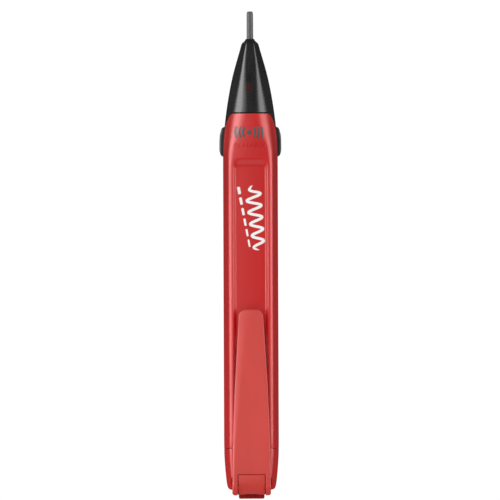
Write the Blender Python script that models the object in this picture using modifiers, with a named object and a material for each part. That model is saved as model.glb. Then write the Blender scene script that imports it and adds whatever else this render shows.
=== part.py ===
"""Non-contact voltage tester, standing on its tail with the sensing fin up.

+Z runs from the tail to the fin, the pocket clip faces -Y, and X is the width. Dimensions are in
millimetres. The helper functions turn them into metres, and the empty tester_axis carries every
piece, so that the middle of the tester's box is over the origin.
"""

import math

import bmesh
import bpy
from mathutils import Matrix, Vector

MM = 0.001

# ---------------------------------------------------------------- driving dimensions, millimetres

LENGTH = 165.0
GAP = 0.3
SEAM_Z = 17.0
SHELL_TOP_Z = 130.4
NOSE_TOP_Z = 154.8

# Outer skin: height, half width, half width of the front face, half depth, half height of the
# flank, and the radius of the front and rear edges. The section is an octagon with soft corners.
SKIN = (
    (3.0, 7.0, 5.35, 7.7, 2.6, 1.2),
    (3.4, 7.75, 5.95, 8.4, 2.9, 1.4),
    (4.4, 8.2, 6.3, 8.7, 3.0, 1.6),
    (8.0, 8.7, 6.75, 9.15, 3.2, 1.8),
    (12.0, 9.03, 7.2, 9.4, 3.3, 1.8),
    (16.0, 9.22, 7.4, 9.5, 3.3, 1.8),
    (20.0, 9.27, 7.4, 9.5, 3.3, 1.8),
    (112.0, 9.27, 7.4, 9.5, 3.3, 1.8),
    (118.0, 9.24, 7.25, 9.5, 3.3, 2.5),
    (122.0, 9.12, 6.6, 9.42, 3.2, 3.8),
    (126.0, 8.8, 5.75, 9.25, 3.0, 5.2),
    (131.0, 8.2, 4.65, 8.85, 2.6, 5.8),
    (135.0, 7.6, 4.0, 8.3, 2.3, 5.2),
    (140.0, 6.68, 3.25, 7.4, 2.0, 4.2),
    (143.5, 5.9, 2.8, 6.7, 1.7, 3.3),
    (148.6, 4.5, 2.2, 5.5, 1.3, 2.1),
    (152.0, 3.5, 1.7, 4.7, 1.0, 1.4),
    (153.8, 2.98, 1.4, 4.2, 0.8, 0.7),
    (154.3, 2.72, 1.3, 4.0, 0.7, 0.6),
    (NOSE_TOP_Z, 2.15, 1.2, 3.7, 0.6, 0.4),
)
HALF_DEPTH = 9.5
FLANK_RADIUS = 4.0
EDGE_STEPS = 4
FLANK_STEPS = 2

SIDE_WALL = 1.5
REAR_WALL = 1.6
FRONT_WALL_BODY = 2.2
FRONT_WALL_NOSE = 1.4
NOSE_INSET = 0.1
CAVITY_TOP_Z = 151.3
PARTING_GAP = 0.15

# Edge of the red casing on the flank: a quarter ellipse that ends beside the cheek of the nose.
ARCH_CENTRE_Y = 6.3
ARCH_CENTRE_Z = 120.0
CHEEK_HALF = 3.05
CHEEK_FOOT_Z = 116.0
CHEEK_FOOT_RADIUS = 1.6

CHANNEL_HALF = 5.0
CHANNEL_DEPTH = 1.2
CHANNEL_TOP_Z = 112.9
CHANNEL_SIDE_SLOPE = 0.72
CHANNEL_RAMP_SLOPE = 1.75
CHANNEL_CORNER = 1.2

LABEL_HALF = 4.8
LABEL_Z = (42.0, 94.0)
LABEL_DEPTH = 0.4

GUARD_HALF_DEPTH = 3.5
GUARD_Z = (115.7, 126.1)
GUARD_CORNER = 1.6
GUARD_PROFILE = ((7.0, 126.1), (9.2, 126.1), (9.65, 125.6), (10.0, 124.6), (10.35, 123.0), (10.48, 118.3),
                 (10.2, 116.8), (9.85, 116.0), (9.65, 115.7), (7.0, 115.7))

FIN_HALF = (1.15, 2.75)
FIN_FOOT_Z = 147.2
FIN_FLANGE_Z = (147.8, 148.8)
FIN_FLANGE_HALF = (1.6, 2.9)
FIN_SLOT_HALF = (0.55, 1.7)
FIN_SLOT_TOP_Z = 163.0
ANTENNA_HALF = (0.2, 1.3)
ANTENNA_Z = (146.6, 162.4)

HINGE_Y = -10.4
HINGE_Z = 4.4
PIN_RADIUS = 0.9
PIN_HALF_LENGTH = 6.3
ARM_RADIUS = 3.2
KNUCKLE_HALF = 4.42
KNUCKLE_TOP_RADIUS = 4.74
KNUCKLE_BACK_Y = -8.0
KNUCKLE_FRONT = ((-13.35, 5.0), (-13.3, 4.2), (-13.1, 3.4), (-12.7, 2.7), (-12.1, 2.15), (-11.3, 1.7),
                 (-10.4, 1.45), (-9.0, 1.4))
SPRING_POCKET_RADIUS = 2.4
SPRING_POCKET_HALF = 2.2
SPRING_MOUTH_FRONT = 1.0
ARM_POCKET_HALF = 6.9
TAIL_HALF = (4.35, 5.5)
TAIL_STEP_HALF = (5.3, 5.9)
TAIL_STEP_Z = 1.5

CLIP_TOP_Z = 64.2
CLIP_OUTER = ((-10.75, CLIP_TOP_Z), (-10.95, 63.4), (-11.4, 55.0), (-12.1, 42.0), (-12.8, 28.0),
              (-13.3, 16.0), (-13.6, 8.0))
CLIP_INNER = ((-11.5, 8.6), (-11.4, 16.0), (-10.95, 28.0), (-10.3, 42.0), (-9.8, 54.0), (-9.35, 57.0),
              (-8.8, 59.8), (-8.8, 61.4), (-9.5, 63.6), (-9.9, CLIP_TOP_Z))
CLIP_WIDTH = ((1.2, 6.55), (16.5, 6.35), (36.8, 5.6), (61.5, 4.17), (CLIP_TOP_Z, 4.05))
CLIP_TIP_RADIUS = 2.5
CLIP_FOOT_RADIUS = 0.9
WINDOW_HALF = 4.75
WINDOW_RADIUS = 5.04

CELL_Y = 0.3
CELL_RADIUS = 5.25
CELL_LENGTH = 44.5
CELL_FOOTS_Z = (20.0, 64.8)
NUB_RADIUS = 1.9
NUB_HEIGHT = 1.0
TRAY_INNER = 5.55
TRAY_OUTER = 6.35
TRAY_Z = (13.1, 109.4)
TRAY_OPENING_DEG = 75.0
BORE_RADIUS = 6.65
BORE_FLOOR_Z = 12.2
SPIGOT_TOP_Z = 20.5
STRIP_HALF = 1.5
STRIP_THICK = 0.3
STRIP_BACK_Y = 7.25
STRIP_TOP_Z = 110.0
STRIP_FOOT_Z = 12.5

BOARD_Y = (1.0, 2.0)
BOARD_Z = (112.6, 127.5, 141.0)
BOARD_HALF = (5.9, 3.4)
CARRIER_WALL_Z = (111.1, 112.0)
RAIL_X = (3.4, 5.5)
RAIL_Y = (2.3, 4.6)
RAIL_TOP_Z = 127.0
SCREW_X = 4.45
SCREW_Z = 124.8
SCREW_HOLE = 0.75

BUTTON_Z = 118.2
BUTTON_HALF = (3.6, 5.0)
BUTTON_TOP_Y = 9.2
BUTTON_FLANGE_Y = (6.9, 7.4)
BUTTON_FLANGE = 0.7
SWITCH_HALF = 3.0
SWITCH_Y = (2.3, 5.7)
PLUNGER_Y = (5.1, 6.6)
PLUNGER_RADIUS = 1.75
SOUND_SLOTS_Z = (125.0, 126.6, 128.2)

BUZZER_Z = 119.0
LAMP_X = -0.4
LAMP_Y = -1.1
LAMP_Z = (135.6, 140.9)

# The clip stands out further than the back, so the casing's axis is this far behind the origin.
AXIS_Y = (-min(y for y, z in CLIP_OUTER) - HALF_DEPTH) / 2

# ---------------------------------------------------------------- scene, collections, materials


def clear_scene():
    for thing in list(bpy.data.objects):
        bpy.data.objects.remove(thing, do_unlink=True)


clear_scene()
PARTS = bpy.data.collections.new("voltage_tester")
CUTTERS = bpy.data.collections.new("voltage_tester_cutters")
bpy.context.scene.collection.children.link(PARTS)
bpy.context.scene.collection.children.link(CUTTERS)

AXIS = bpy.data.objects.new("tester_axis", None)
AXIS.location = (0, AXIS_Y * MM, 0)
PARTS.objects.link(AXIS)


def paint(name, colour, roughness, metallic=0.0):
    material = bpy.data.materials.new(name)
    material.use_nodes = True
    shader = material.node_tree.nodes["Principled BSDF"]
    shader.inputs["Base Color"].default_value = (*colour, 1.0)
    shader.inputs["Roughness"].default_value = roughness
    shader.inputs["Metallic"].default_value = metallic
    material.diffuse_color = (*colour, 1.0)
    return material


RED = paint("red_plastic", (0.51, 0.026, 0.03), 0.42)
CLIP_RED = paint("clip_plastic", (0.56, 0.06, 0.05), 0.45)
SMOKE = paint("smoky_plastic", (0.022, 0.022, 0.022), 0.25)
BLACK = paint("black_plastic", (0.02, 0.02, 0.02), 0.5)
FIN_GREY = paint("fin_plastic", (0.09, 0.09, 0.095), 0.4)
BOARD_GREEN = paint("board_laminate", (0.02, 0.14, 0.05), 0.45)
CHIP_BLACK = paint("chip_resin", (0.015, 0.015, 0.017), 0.6)
STEEL = paint("spring_steel", (0.6, 0.6, 0.6), 0.3, 1.0)
BRASS = paint("contact_brass", (0.75, 0.55, 0.25), 0.3, 1.0)
CELL_WRAP = paint("cell_wrap", (0.03, 0.05, 0.09), 0.35)
LAMP_RED = paint("lamp_red", (0.6, 0.02, 0.02), 0.15)
LAMP_GREEN = paint("lamp_green", (0.1, 0.6, 0.15), 0.2)
TRAY_WHITE = paint("tray_plastic", (0.75, 0.75, 0.72), 0.5)
WIRE_RED = paint("wire_insulation", (0.5, 0.03, 0.03), 0.4)

# ---------------------------------------------------------------- helpers


def place(name, mesh, material=None):
    """Adds a mesh, in millimetres about the tester's axis, as a part or, with no material, a cutter."""
    mesh.name = name
    mesh.transform(Matrix.Scale(MM, 4))
    thing = bpy.data.objects.new(name, mesh)
    thing.parent = AXIS
    if material:
        mesh.materials.append(material)
        PARTS.objects.link(thing)
    else:
        CUTTERS.objects.link(thing)
        thing.hide_render = True
        thing.display_type = "WIRE"
    return thing


def finished(work):
    """The bmesh as a mesh with its faces pointing out."""
    bmesh.ops.recalc_face_normals(work, faces=work.faces)
    mesh = bpy.data.meshes.new("mesh")
    work.to_mesh(mesh)
    work.free()
    return mesh


def loft(rings):
    """A closed body through rings of (x, y, z) points that all have the same count."""
    work = bmesh.new()
    rows = [[work.verts.new(point) for point in ring] for ring in rings]
    count = len(rows[0])
    for low, high in zip(rows, rows[1:]):
        for i in range(count):
            j = (i + 1) % count
            work.faces.new((low[i], low[j], high[j], high[i]))
    work.faces.new(rows[0][::-1])
    work.faces.new(rows[-1])
    return finished(work)


def box(low, high, bevel=0.0):
    low = Vector(low)
    high = Vector(high)
    work = bmesh.new()
    size = Matrix.Diagonal((*(high - low), 1.0))
    bmesh.ops.create_cube(work, size=1.0, matrix=Matrix.Translation((low + high) / 2) @ size)
    if bevel:
        bmesh.ops.bevel(work, geom=work.edges, offset=bevel, segments=2, affect="EDGES")
    return finished(work)


def pointing(axis):
    """The turn that takes +Z to the named axis."""
    return {"X": Matrix.Rotation(math.pi / 2, 4, "Y"), "Y": Matrix.Rotation(-math.pi / 2, 4, "X"),
            "Z": Matrix.Identity(4)}[axis]


def cylinder(radius, low, high, axis, centre=(0.0, 0.0), steps=24):
    """A round bar from low to high along the axis. The centre gives the other two coordinates."""
    middle = list(centre)
    middle.insert("XYZ".index(axis), (low + high) / 2)
    work = bmesh.new()
    bmesh.ops.create_cone(work, cap_ends=True, segments=steps, radius1=radius, radius2=radius,
                          depth=high - low, matrix=Matrix.Translation(middle) @ pointing(axis))
    return finished(work)


def plate(outline, low, high, axis):
    """A flat outline, given in the two other coordinates, filled and extruded along the axis."""
    curve = bpy.data.curves.new("outline", "CURVE")
    curve.dimensions = "2D"
    curve.fill_mode = "BOTH"
    curve.extrude = (high - low) / 2
    spline = curve.splines.new("POLY")
    spline.points.add(len(outline) - 1)
    for point, (u, v) in zip(spline.points, outline):
        point.co = (u, v, 0.0, 1.0)
    spline.use_cyclic_u = True
    mesh = curve_mesh(curve)
    middle = (low + high) / 2
    to_space = {
        "X": Matrix(((0, 0, 1, middle), (1, 0, 0, 0), (0, 1, 0, 0), (0, 0, 0, 1))),
        "Y": Matrix(((1, 0, 0, 0), (0, 0, -1, middle), (0, 1, 0, 0), (0, 0, 0, 1))),
        "Z": Matrix.Translation((0, 0, middle)),
    }
    mesh.transform(to_space[axis])
    return mesh


def curve_mesh(curve):
    """Turns a curve into a welded mesh, so that Booleans can use it."""
    holder = bpy.data.objects.new("curve", curve)
    bpy.context.scene.collection.objects.link(holder)
    graph = bpy.context.evaluated_depsgraph_get()
    mesh = bpy.data.meshes.new_from_object(holder.evaluated_get(graph))
    bpy.data.objects.remove(holder)
    work = bmesh.new()
    work.from_mesh(mesh)
    bmesh.ops.remove_doubles(work, verts=work.verts, dist=0.0001)
    bpy.data.meshes.remove(mesh)
    return finished(work)


def wire(points, radius, resolution=2):
    """A round wire through the points."""
    curve = bpy.data.curves.new("wire", "CURVE")
    curve.dimensions = "3D"
    curve.bevel_depth = radius
    curve.bevel_resolution = resolution
    curve.use_fill_caps = True
    spline = curve.splines.new("POLY")
    spline.points.add(len(points) - 1)
    for point, place_at in zip(spline.points, points):
        point.co = (*place_at, 1.0)
    return curve_mesh(curve)


def turned(name, profile, material, centre, axis="Z", steps=24):
    """A part from a profile of (radius, height) that runs down its outer side."""
    work = bmesh.new()
    points = [work.verts.new((radius * MM, 0, height * MM)) for radius, height in profile]
    for above, below in zip(points, points[1:]):
        work.edges.new((above, below))
    mesh = bpy.data.meshes.new(name)
    work.to_mesh(mesh)
    work.free()
    mesh.materials.append(material)
    thing = bpy.data.objects.new(name, mesh)
    PARTS.objects.link(thing)
    thing.parent = AXIS
    thing.matrix_local = Matrix.Translation(Vector(centre) * MM) @ pointing(axis)
    screw = thing.modifiers.new("turn", "SCREW")
    screw.steps = steps
    screw.render_steps = steps
    screw.use_merge_vertices = True
    screw.merge_threshold = 0.00001
    return thing


def boolean(part, operation, mesh_or_tool, name="cutter"):
    tool = mesh_or_tool
    if isinstance(tool, bpy.types.Mesh):
        tool = place(part.name + "_" + name, tool)
    modifier = part.modifiers.new(name, "BOOLEAN")
    modifier.operation = operation
    modifier.object = tool
    modifier.solver = "EXACT"
    return tool


def cut(part, mesh_or_tool, name="cutter"):
    return boolean(part, "DIFFERENCE", mesh_or_tool, name)


def keep(part, mesh_or_tool, name="keeper"):
    return boolean(part, "INTERSECT", mesh_or_tool, name)


def join(part, mesh_or_tool, name="addition"):
    return boolean(part, "UNION", mesh_or_tool, name)


def smooth(part, angle=35.0):
    part.data.shade_smooth()
    part.data.set_sharp_from_angle(angle=math.radians(angle))
    return part


def set_origin(part, point):
    """Moves the part's origin to a point on its joint's axis, and leaves its shape where it is."""
    shift = Vector(point) * MM
    part.data.transform(Matrix.Translation(-shift))
    part.location = shift


# ---------------------------------------------------------------- outlines


def skin_row(height):
    """The skin's sizes at a height, by straight lines between the rows of the table."""
    rows = SKIN
    if height <= rows[0][0]:
        return rows[0][1:]
    for low, high in zip(rows, rows[1:]):
        if height <= high[0]:
            share = (height - low[0]) / (high[0] - low[0])
            return tuple(a + (b - a) * share for a, b in zip(low[1:], high[1:]))
    return rows[-1][1:]


def fillet(before, corner, after, radius, steps):
    """Points of an arc that rounds a corner. The radius gives way where an edge is too short."""
    back = (before - corner).normalized()
    onward = (after - corner).normalized()
    half = back.angle(onward) / 2
    reach = min(radius / math.tan(half), 0.48 * (before - corner).length, 0.48 * (after - corner).length)
    radius = reach * math.tan(half)
    centre = corner + (back + onward).normalized() * (radius / math.sin(half))
    start = corner + back * reach - centre
    turn = math.pi - 2 * half
    if start.x * -back.y + start.y * back.x < 0:
        turn = -turn
    arc = []
    for i in range(steps + 1):
        angle = turn * i / steps
        c, s = math.cos(angle), math.sin(angle)
        arc.append(centre + Vector((start.x * c - start.y * s, start.x * s + start.y * c)))
    return arc


def rounded(corners):
    """A closed outline from (x, y, radius, steps) corners."""
    points = [Vector(corner[:2]) for corner in corners]
    outline = []
    for i, (_, _, radius, steps) in enumerate(corners):
        before = points[i - 1]
        after = points[(i + 1) % len(points)]
        outline += fillet(before, points[i], after, radius, steps) if radius else [points[i]]
    return outline


def octagon(half, face, front, rear, flank, radius):
    """The section's outline, seen from above, starting at the front left edge."""
    edge = (radius, EDGE_STEPS)
    side = (FLANK_RADIUS, FLANK_STEPS)
    return rounded((
        (-face, -front, *edge), (face, -front, *edge), (half, -flank, *side), (half, flank, *side),
        (face, rear, *edge), (-face, rear, *edge), (-half, flank, *side), (-half, -flank, *side),
    ))


def skin_ring(height, inset=0.0):
    half, face, depth, flank, radius = skin_row(height)
    outline = octagon(half - inset, face - inset / 2, depth - inset, depth - inset, flank, radius)
    return [(x, y, height) for x, y in outline]


def cavity_ring(height, clearance=0.0):
    half, face, depth, flank, _ = skin_row(max(height, SEAM_Z + 3.0))
    nose_share = min(max((height - 117.0) / 4.0, 0.0), 1.0)
    front_wall = FRONT_WALL_BODY + (FRONT_WALL_NOSE - FRONT_WALL_BODY) * nose_share
    outline = octagon(
        half - SIDE_WALL - clearance, max(face - 1.0, 0.9) - clearance / 2, depth - front_wall - clearance,
        depth - REAR_WALL - clearance, flank - 0.3, 1.0)
    return [(x, y, height) for x, y in outline]


def heights(low, high):
    """The two ends and every row of the skin table between them."""
    return [low] + [row[0] for row in SKIN if low + 0.2 < row[0] < high - 0.2] + [high]


def skin_body(low, high, inset=0.0):
    return loft([skin_ring(z, inset) for z in heights(low, high)])


def cavity_body(low, high, clearance=0.0):
    return loft([cavity_ring(z, clearance) for z in heights(low, high)])


def arch(side, gap):
    """The casing's edge from its top to the foot of the cheek, as (y, z). side is -1 at the front."""
    reach = ARCH_CENTRE_Y - CHEEK_HALF + gap
    rise = SHELL_TOP_Z - ARCH_CENTRE_Z + gap
    points = []
    for i in range(9):
        angle = math.pi / 2 * i / 8
        y = ARCH_CENTRE_Y - reach * math.sin(angle)
        points.append((side * y, ARCH_CENTRE_Z + rise * math.cos(angle)))
    half = CHEEK_HALF - gap
    foot = CHEEK_FOOT_Z + gap
    radius = CHEEK_FOOT_RADIUS
    for i in range(5):
        angle = math.pi / 2 * i / 4
        y = half - radius + radius * math.cos(angle)
        points.append((side * y, foot + radius - radius * math.sin(angle)))
    return points


def half_outline(side):
    """One casing half's side view: up to the arch, and back to the parting line."""
    far = side * 20.0
    split = side * PARTING_GAP
    return [(far, SEAM_Z + PARTING_GAP), (far, SHELL_TOP_Z), *arch(side, 0.0), (split, CHEEK_FOOT_Z),
            (split, SEAM_Z + PARTING_GAP)]


def nose_outline():
    """The nose's side view: everything above the arches, with the cheek between them."""
    front = arch(-1, GAP)
    rear = arch(1, GAP)
    return [(-20.0, SHELL_TOP_Z + GAP), *front, *rear[::-1], (20.0, SHELL_TOP_Z + GAP), (20.0, 160.0),
            (-20.0, 160.0)]


def stadium(half_width, half_height, centre_z, steps=8):
    """An upright oval with round ends, as (x, z)."""
    straight = half_height - half_width
    points = []
    for end in (1, -1):
        for i in range(steps + 1):
            angle = math.pi * i / steps
            points.append((end * half_width * math.cos(angle),
                           centre_z + end * (straight + half_width * math.sin(angle))))
    return points


# ---------------------------------------------------------------- casing


def channel_body():
    """The long recess in the front face, as a plug with sloping sides and a ramp at its top."""
    rings = []
    for depth in (CHANNEL_DEPTH, -1.0):
        spread = (CHANNEL_DEPTH - depth) * CHANNEL_SIDE_SLOPE
        rise = (CHANNEL_DEPTH - depth) * CHANNEL_RAMP_SLOPE
        half = CHANNEL_HALF + spread
        top = CHANNEL_TOP_Z + rise
        corner = CHANNEL_CORNER + 0.5 * rise
        outline = rounded(((-half, -5.0, 0, 0), (half, -5.0, 0, 0), (half, top, corner, 4),
                           (-half, top, corner, 4)))
        rings.append([(x, depth - HALF_DEPTH, z) for x, z in outline])
    return loft(rings)


def label_recess():
    low, high = LABEL_Z
    outline = rounded(((-LABEL_HALF, low, 1.5, 3), (LABEL_HALF, low, 1.5, 3), (LABEL_HALF, high, 1.5, 3),
                       (-LABEL_HALF, high, 1.5, 3)))
    return plate(outline, HALF_DEPTH - LABEL_DEPTH, HALF_DEPTH + 1.0, "Y")


def make_casing():
    cavity = place("casing_cavity", cavity_body(10.0, CAVITY_TOP_Z))
    channel = place("front_channel", channel_body())

    front = place("front_housing", skin_body(SEAM_Z - 1.0, SHELL_TOP_Z + 1.0), RED)
    keep(front, plate(half_outline(-1), -12.0, 12.0, "X"))
    cut(front, cavity, "cavity")
    cut(front, channel, "channel")

    rear = place("rear_housing", skin_body(SEAM_Z - 1.0, SHELL_TOP_Z + 1.0), RED)
    keep(rear, plate(half_outline(1), -12.0, 12.0, "X"))
    cut(rear, cavity, "cavity")
    cut(rear, label_recess(), "label")
    hole = stadium(BUTTON_HALF[0] + GAP, BUTTON_HALF[1] + GAP, BUTTON_Z)
    cut(rear, plate(hole, 5.0, 12.0, "Y"), "button_hole")
    for i, z in enumerate(SOUND_SLOTS_Z):
        cut(rear, box((-2.2, 5.0, z - 0.35), (2.2, 12.0, z + 0.35)), f"sound_slot_{i}")

    nose = place("nose_cone", skin_body(CHEEK_FOOT_Z - 1.0, NOSE_TOP_Z, NOSE_INSET), SMOKE)
    keep(nose, plate(nose_outline(), -12.0, 12.0, "X"))
    cut(nose, cavity, "cavity")
    slot = [half + GAP for half in FIN_HALF]
    cut(nose, box((-slot[0], -slot[1], 148.0), (slot[0], slot[1], 160.0)), "fin_slot")
    return channel


def make_guards():
    skin = place("guard_seat", skin_body(CHEEK_FOOT_Z - 4.0, 129.0, -GAP))
    low, high = GUARD_Z
    half = GUARD_HALF_DEPTH
    corner = (GUARD_CORNER, 3)
    side_view = rounded(((-half, low, *corner), (half, low, *corner), (half, high, *corner),
                         (-half, high, *corner)))
    for name, side in (("finger_guard_left", -1), ("finger_guard_right", 1)):
        guard = place(name, plate([(side * x, z) for x, z in GUARD_PROFILE], -half, half, "Y"), BLACK)
        ends = sorted((side * 6.0, side * 12.0))
        keep(guard, plate(side_view, *ends, "X"))
        cut(guard, skin, "seat")


def make_fin():
    x, y = FIN_HALF
    section = ((-x, -y, 0.3, 2), (x, -y, 0.3, 2), (x, y, 0.3, 2), (-x, y, 0.3, 2))
    rings = []
    for z, inset in ((FIN_FOOT_Z, 0.0), (LENGTH - 0.9, 0.0), (LENGTH, 0.3)):
        scale = (1 - inset / x, 1 - inset / y)
        rings.append([(px * scale[0], py * scale[1], z) for px, py in rounded(section)])
    fin = place("probe_blade", loft(rings), FIN_GREY)
    flange = FIN_FLANGE_HALF
    low, high = FIN_FLANGE_Z
    join(fin, box((-flange[0], -flange[1], low), (flange[0], flange[1], high)), "flange")
    slot = FIN_SLOT_HALF
    cut(fin, box((-slot[0], -slot[1], 140.0), (slot[0], slot[1], FIN_SLOT_TOP_Z)), "antenna_slot")
    antenna = ANTENNA_HALF
    low, high = ANTENNA_Z
    place("sensor_antenna", box((-antenna[0], -antenna[1], low), (antenna[0], antenna[1], high)), BRASS)
    lead = ((0, 1.5, 141.35), (0, 1.4, 142.2), (0, 1.0, 143.4), (0, 0.4, 144.8), (0, 0.0, 146.25))
    place("antenna_lead", wire(lead, 0.25), WIRE_RED)


# ---------------------------------------------------------------- end cap and batteries


def about_hinge(radius, half, steps=32):
    return cylinder(radius, -half, half, "X", (HINGE_Y, HINGE_Z), steps)


def knuckle_outline():
    """The knuckle's side view: a top that is round about the hinge, a flat front and a curved foot."""
    front = math.asin((HINGE_Y - KNUCKLE_FRONT[0][0]) / KNUCKLE_TOP_RADIUS)
    back = -math.asin((KNUCKLE_BACK_Y - HINGE_Y) / KNUCKLE_TOP_RADIUS)
    radius = KNUCKLE_TOP_RADIUS
    steps = 10
    top = []
    for i in range(steps + 1):
        angle = back + (front - back) * i / steps
        top.append((HINGE_Y - radius * math.sin(angle), HINGE_Z + radius * math.cos(angle)))
    return [*top, *KNUCKLE_FRONT, (KNUCKLE_BACK_Y, KNUCKLE_FRONT[-1][1])]


def window_outline():
    """The clip's window from the side: open below, with a top that is round about the hinge."""
    steps = 24
    arc = []
    for i in range(steps + 1):
        angle = math.pi * i / steps
        arc.append((HINGE_Y + WINDOW_RADIUS * math.cos(angle), HINGE_Z + WINDOW_RADIUS * math.sin(angle)))
    return [(HINGE_Y - WINDOW_RADIUS, -2.0), (HINGE_Y + WINDOW_RADIUS, -2.0), *arc]


def make_end_cap(channel):
    cap = place("end_cap", skin_body(3.0, SEAM_Z - PARTING_GAP), RED)
    join(cap, cavity_body(SEAM_Z - 1.0, SPIGOT_TOP_Z, GAP), "spigot")
    cut(cap, cylinder(BORE_RADIUS, BORE_FLOOR_Z, 30.0, "Z", (0, CELL_Y), 32), "bore")
    strip_half = STRIP_HALF + GAP
    cut(cap, box((-strip_half, 2.0, BORE_FLOOR_Z + 0.05), (strip_half, STRIP_BACK_Y + GAP, 30.0)),
        "strip_slot")
    cut(cap, channel, "channel")
    cut(cap, about_hinge(ARM_RADIUS + 0.35, ARM_POCKET_HALF), "arm_pocket")
    pocket_x = ARM_POCKET_HALF - 0.05
    cut(cap, box((-pocket_x, -20.0, -1.0), (pocket_x, HINGE_Y + ARM_RADIUS + GAP, 4.0)), "arm_pocket_foot")
    tail_x, tail_y = TAIL_HALF
    join(cap, box((-tail_x, -tail_y, 0.0), (tail_x, tail_y, 4.0), 0.35), "tail_block")
    step_x, step_y = TAIL_STEP_HALF
    join(cap, box((-step_x, -step_y, TAIL_STEP_Z), (step_x, step_y, 3.8)), "tail_step")
    web_x = KNUCKLE_HALF - 0.15
    join(cap, box((-web_x, HINGE_Y + 0.2, 1.3), (web_x, -5.0, 7.2)), "knuckle_web")
    join(cap, plate(knuckle_outline(), -KNUCKLE_HALF, KNUCKLE_HALF, "X"), "knuckle")
    cut(cap, about_hinge(SPRING_POCKET_RADIUS, SPRING_POCKET_HALF), "spring_pocket")
    mouth_x = SPRING_POCKET_HALF - 0.05
    mouth_y = SPRING_POCKET_RADIUS - 0.1
    cut(cap, box((-mouth_x, HINGE_Y - SPRING_MOUTH_FRONT, -1.0), (mouth_x, HINGE_Y + mouth_y, 4.0)),
        "spring_mouth")
    cut(cap, about_hinge(PIN_RADIUS + GAP, 10.0, 20), "pin_hole")
    place("clip_pin", about_hinge(PIN_RADIUS, PIN_HALF_LENGTH, 20), STEEL)


def tray_outline():
    """A round trough, open towards the front, seen from above."""
    first = math.radians(TRAY_OPENING_DEG - 90.0)
    last = math.pi - first
    steps = 18
    outer = []
    inner = []
    for i in range(steps + 1):
        angle = first + (last - first) * i / steps
        c, s = math.cos(angle), math.sin(angle)
        outer.append((TRAY_OUTER * c, CELL_Y + TRAY_OUTER * s))
        inner.append((TRAY_INNER * c, CELL_Y + TRAY_INNER * s))
    return outer + inner[::-1]


def strip_outline():
    """The return strip's side view: a foot under the spring, a long back and a tab at the top."""
    back = STRIP_BACK_Y
    inner = back - STRIP_THICK
    foot = STRIP_FOOT_Z
    top = STRIP_TOP_Z
    return [(-2.5, foot), (back, foot), (back, top), (3.6, top), (3.6, top - STRIP_THICK),
            (inner, top - STRIP_THICK), (inner, foot + STRIP_THICK), (-2.5, foot + STRIP_THICK)]


def make_batteries():
    place("battery_tray", plate(tray_outline(), *TRAY_Z, "Z"), TRAY_WHITE)
    place("negative_strip", plate(strip_outline(), -STRIP_HALF, STRIP_HALF, "X"), BRASS)
    body_top = CELL_LENGTH - NUB_HEIGHT
    rim = 0.5
    profile = ((0, CELL_LENGTH), (NUB_RADIUS - 0.2, CELL_LENGTH), (NUB_RADIUS, CELL_LENGTH - 0.2),
               (NUB_RADIUS, body_top), (CELL_RADIUS - rim, body_top), (CELL_RADIUS, body_top - rim),
               (CELL_RADIUS, rim), (CELL_RADIUS - rim, 0), (0, 0))
    for name, foot in zip(("battery_lower", "battery_upper"), CELL_FOOTS_Z):
        smooth(turned(name, profile, CELL_WRAP, (0, CELL_Y, foot)))

    wire_radius = 0.35
    low = STRIP_FOOT_Z + STRIP_THICK + GAP + wire_radius
    high = CELL_FOOTS_Z[0] - GAP - wire_radius
    turns = 4
    per_turn = 14
    points = []
    for i in range(turns * per_turn + 1):
        angle = 2 * math.pi * i / per_turn
        radius = 3.8 - 1.2 * i / (turns * per_turn)
        points.append((radius * math.cos(angle), CELL_Y + radius * math.sin(angle),
                       low + (high - low) * i / (turns * per_turn)))
    place("negative_spring", wire(points, wire_radius), STEEL)


# ---------------------------------------------------------------- clip


def clip_half_width(height):
    for (low, a), (high, b) in zip(CLIP_WIDTH, CLIP_WIDTH[1:]):
        if height <= high:
            return a + (b - a) * (height - low) / (high - low)
    return CLIP_WIDTH[-1][1]


def make_clip():
    heel = []
    steps = 26
    for i in range(1, steps + 1):
        angle = math.pi + math.radians(270.0) * i / steps
        heel.append((HINGE_Y + ARM_RADIUS * math.cos(angle), HINGE_Z + ARM_RADIUS * math.sin(angle)))
    side_view = [*CLIP_OUTER, (HINGE_Y - ARM_RADIUS, HINGE_Z), *heel, *CLIP_INNER]
    clip = place("pocket_clip", plate(side_view, -7.0, 7.0, "X"), CLIP_RED)

    right = [(clip_half_width(z), z, 0, 0) for z in (16.5, 36.8, 50.0, 61.0)]
    left = [(-x, z, radius, steps) for x, z, radius, steps in right[::-1]]
    foot = (clip_half_width(0), HINGE_Z - ARM_RADIUS, CLIP_FOOT_RADIUS, 3)
    tip = (CLIP_WIDTH[-1][1], CLIP_TOP_Z, CLIP_TIP_RADIUS, 4)
    front_view = rounded(((-foot[0], *foot[1:]), foot, *right, tip, (-tip[0], *tip[1:]), *left))
    keep(clip, plate(front_view, -20.0, 0.0, "Y"), "front_view")

    cut(clip, plate(window_outline(), -WINDOW_HALF, WINDOW_HALF, "X"), "window")
    cut(clip, about_hinge(PIN_RADIUS + GAP, 10.0, 20), "pin_hole")
    set_origin(clip, (0, HINGE_Y, HINGE_Z))

    points = []
    turns = 5
    per_turn = 10
    half = 1.6
    coil = 1.8
    for i in range(turns * per_turn + 1):
        angle = 2 * math.pi * i / per_turn
        points.append((-half + 2 * half * i / (turns * per_turn), HINGE_Y + coil * math.cos(angle),
                       HINGE_Z + coil * math.sin(angle)))
    spring = place("clip_spring", wire(points, 0.24), STEEL)
    set_origin(spring, (0, HINGE_Y, HINGE_Z))


# ---------------------------------------------------------------- board and what is on it


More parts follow.
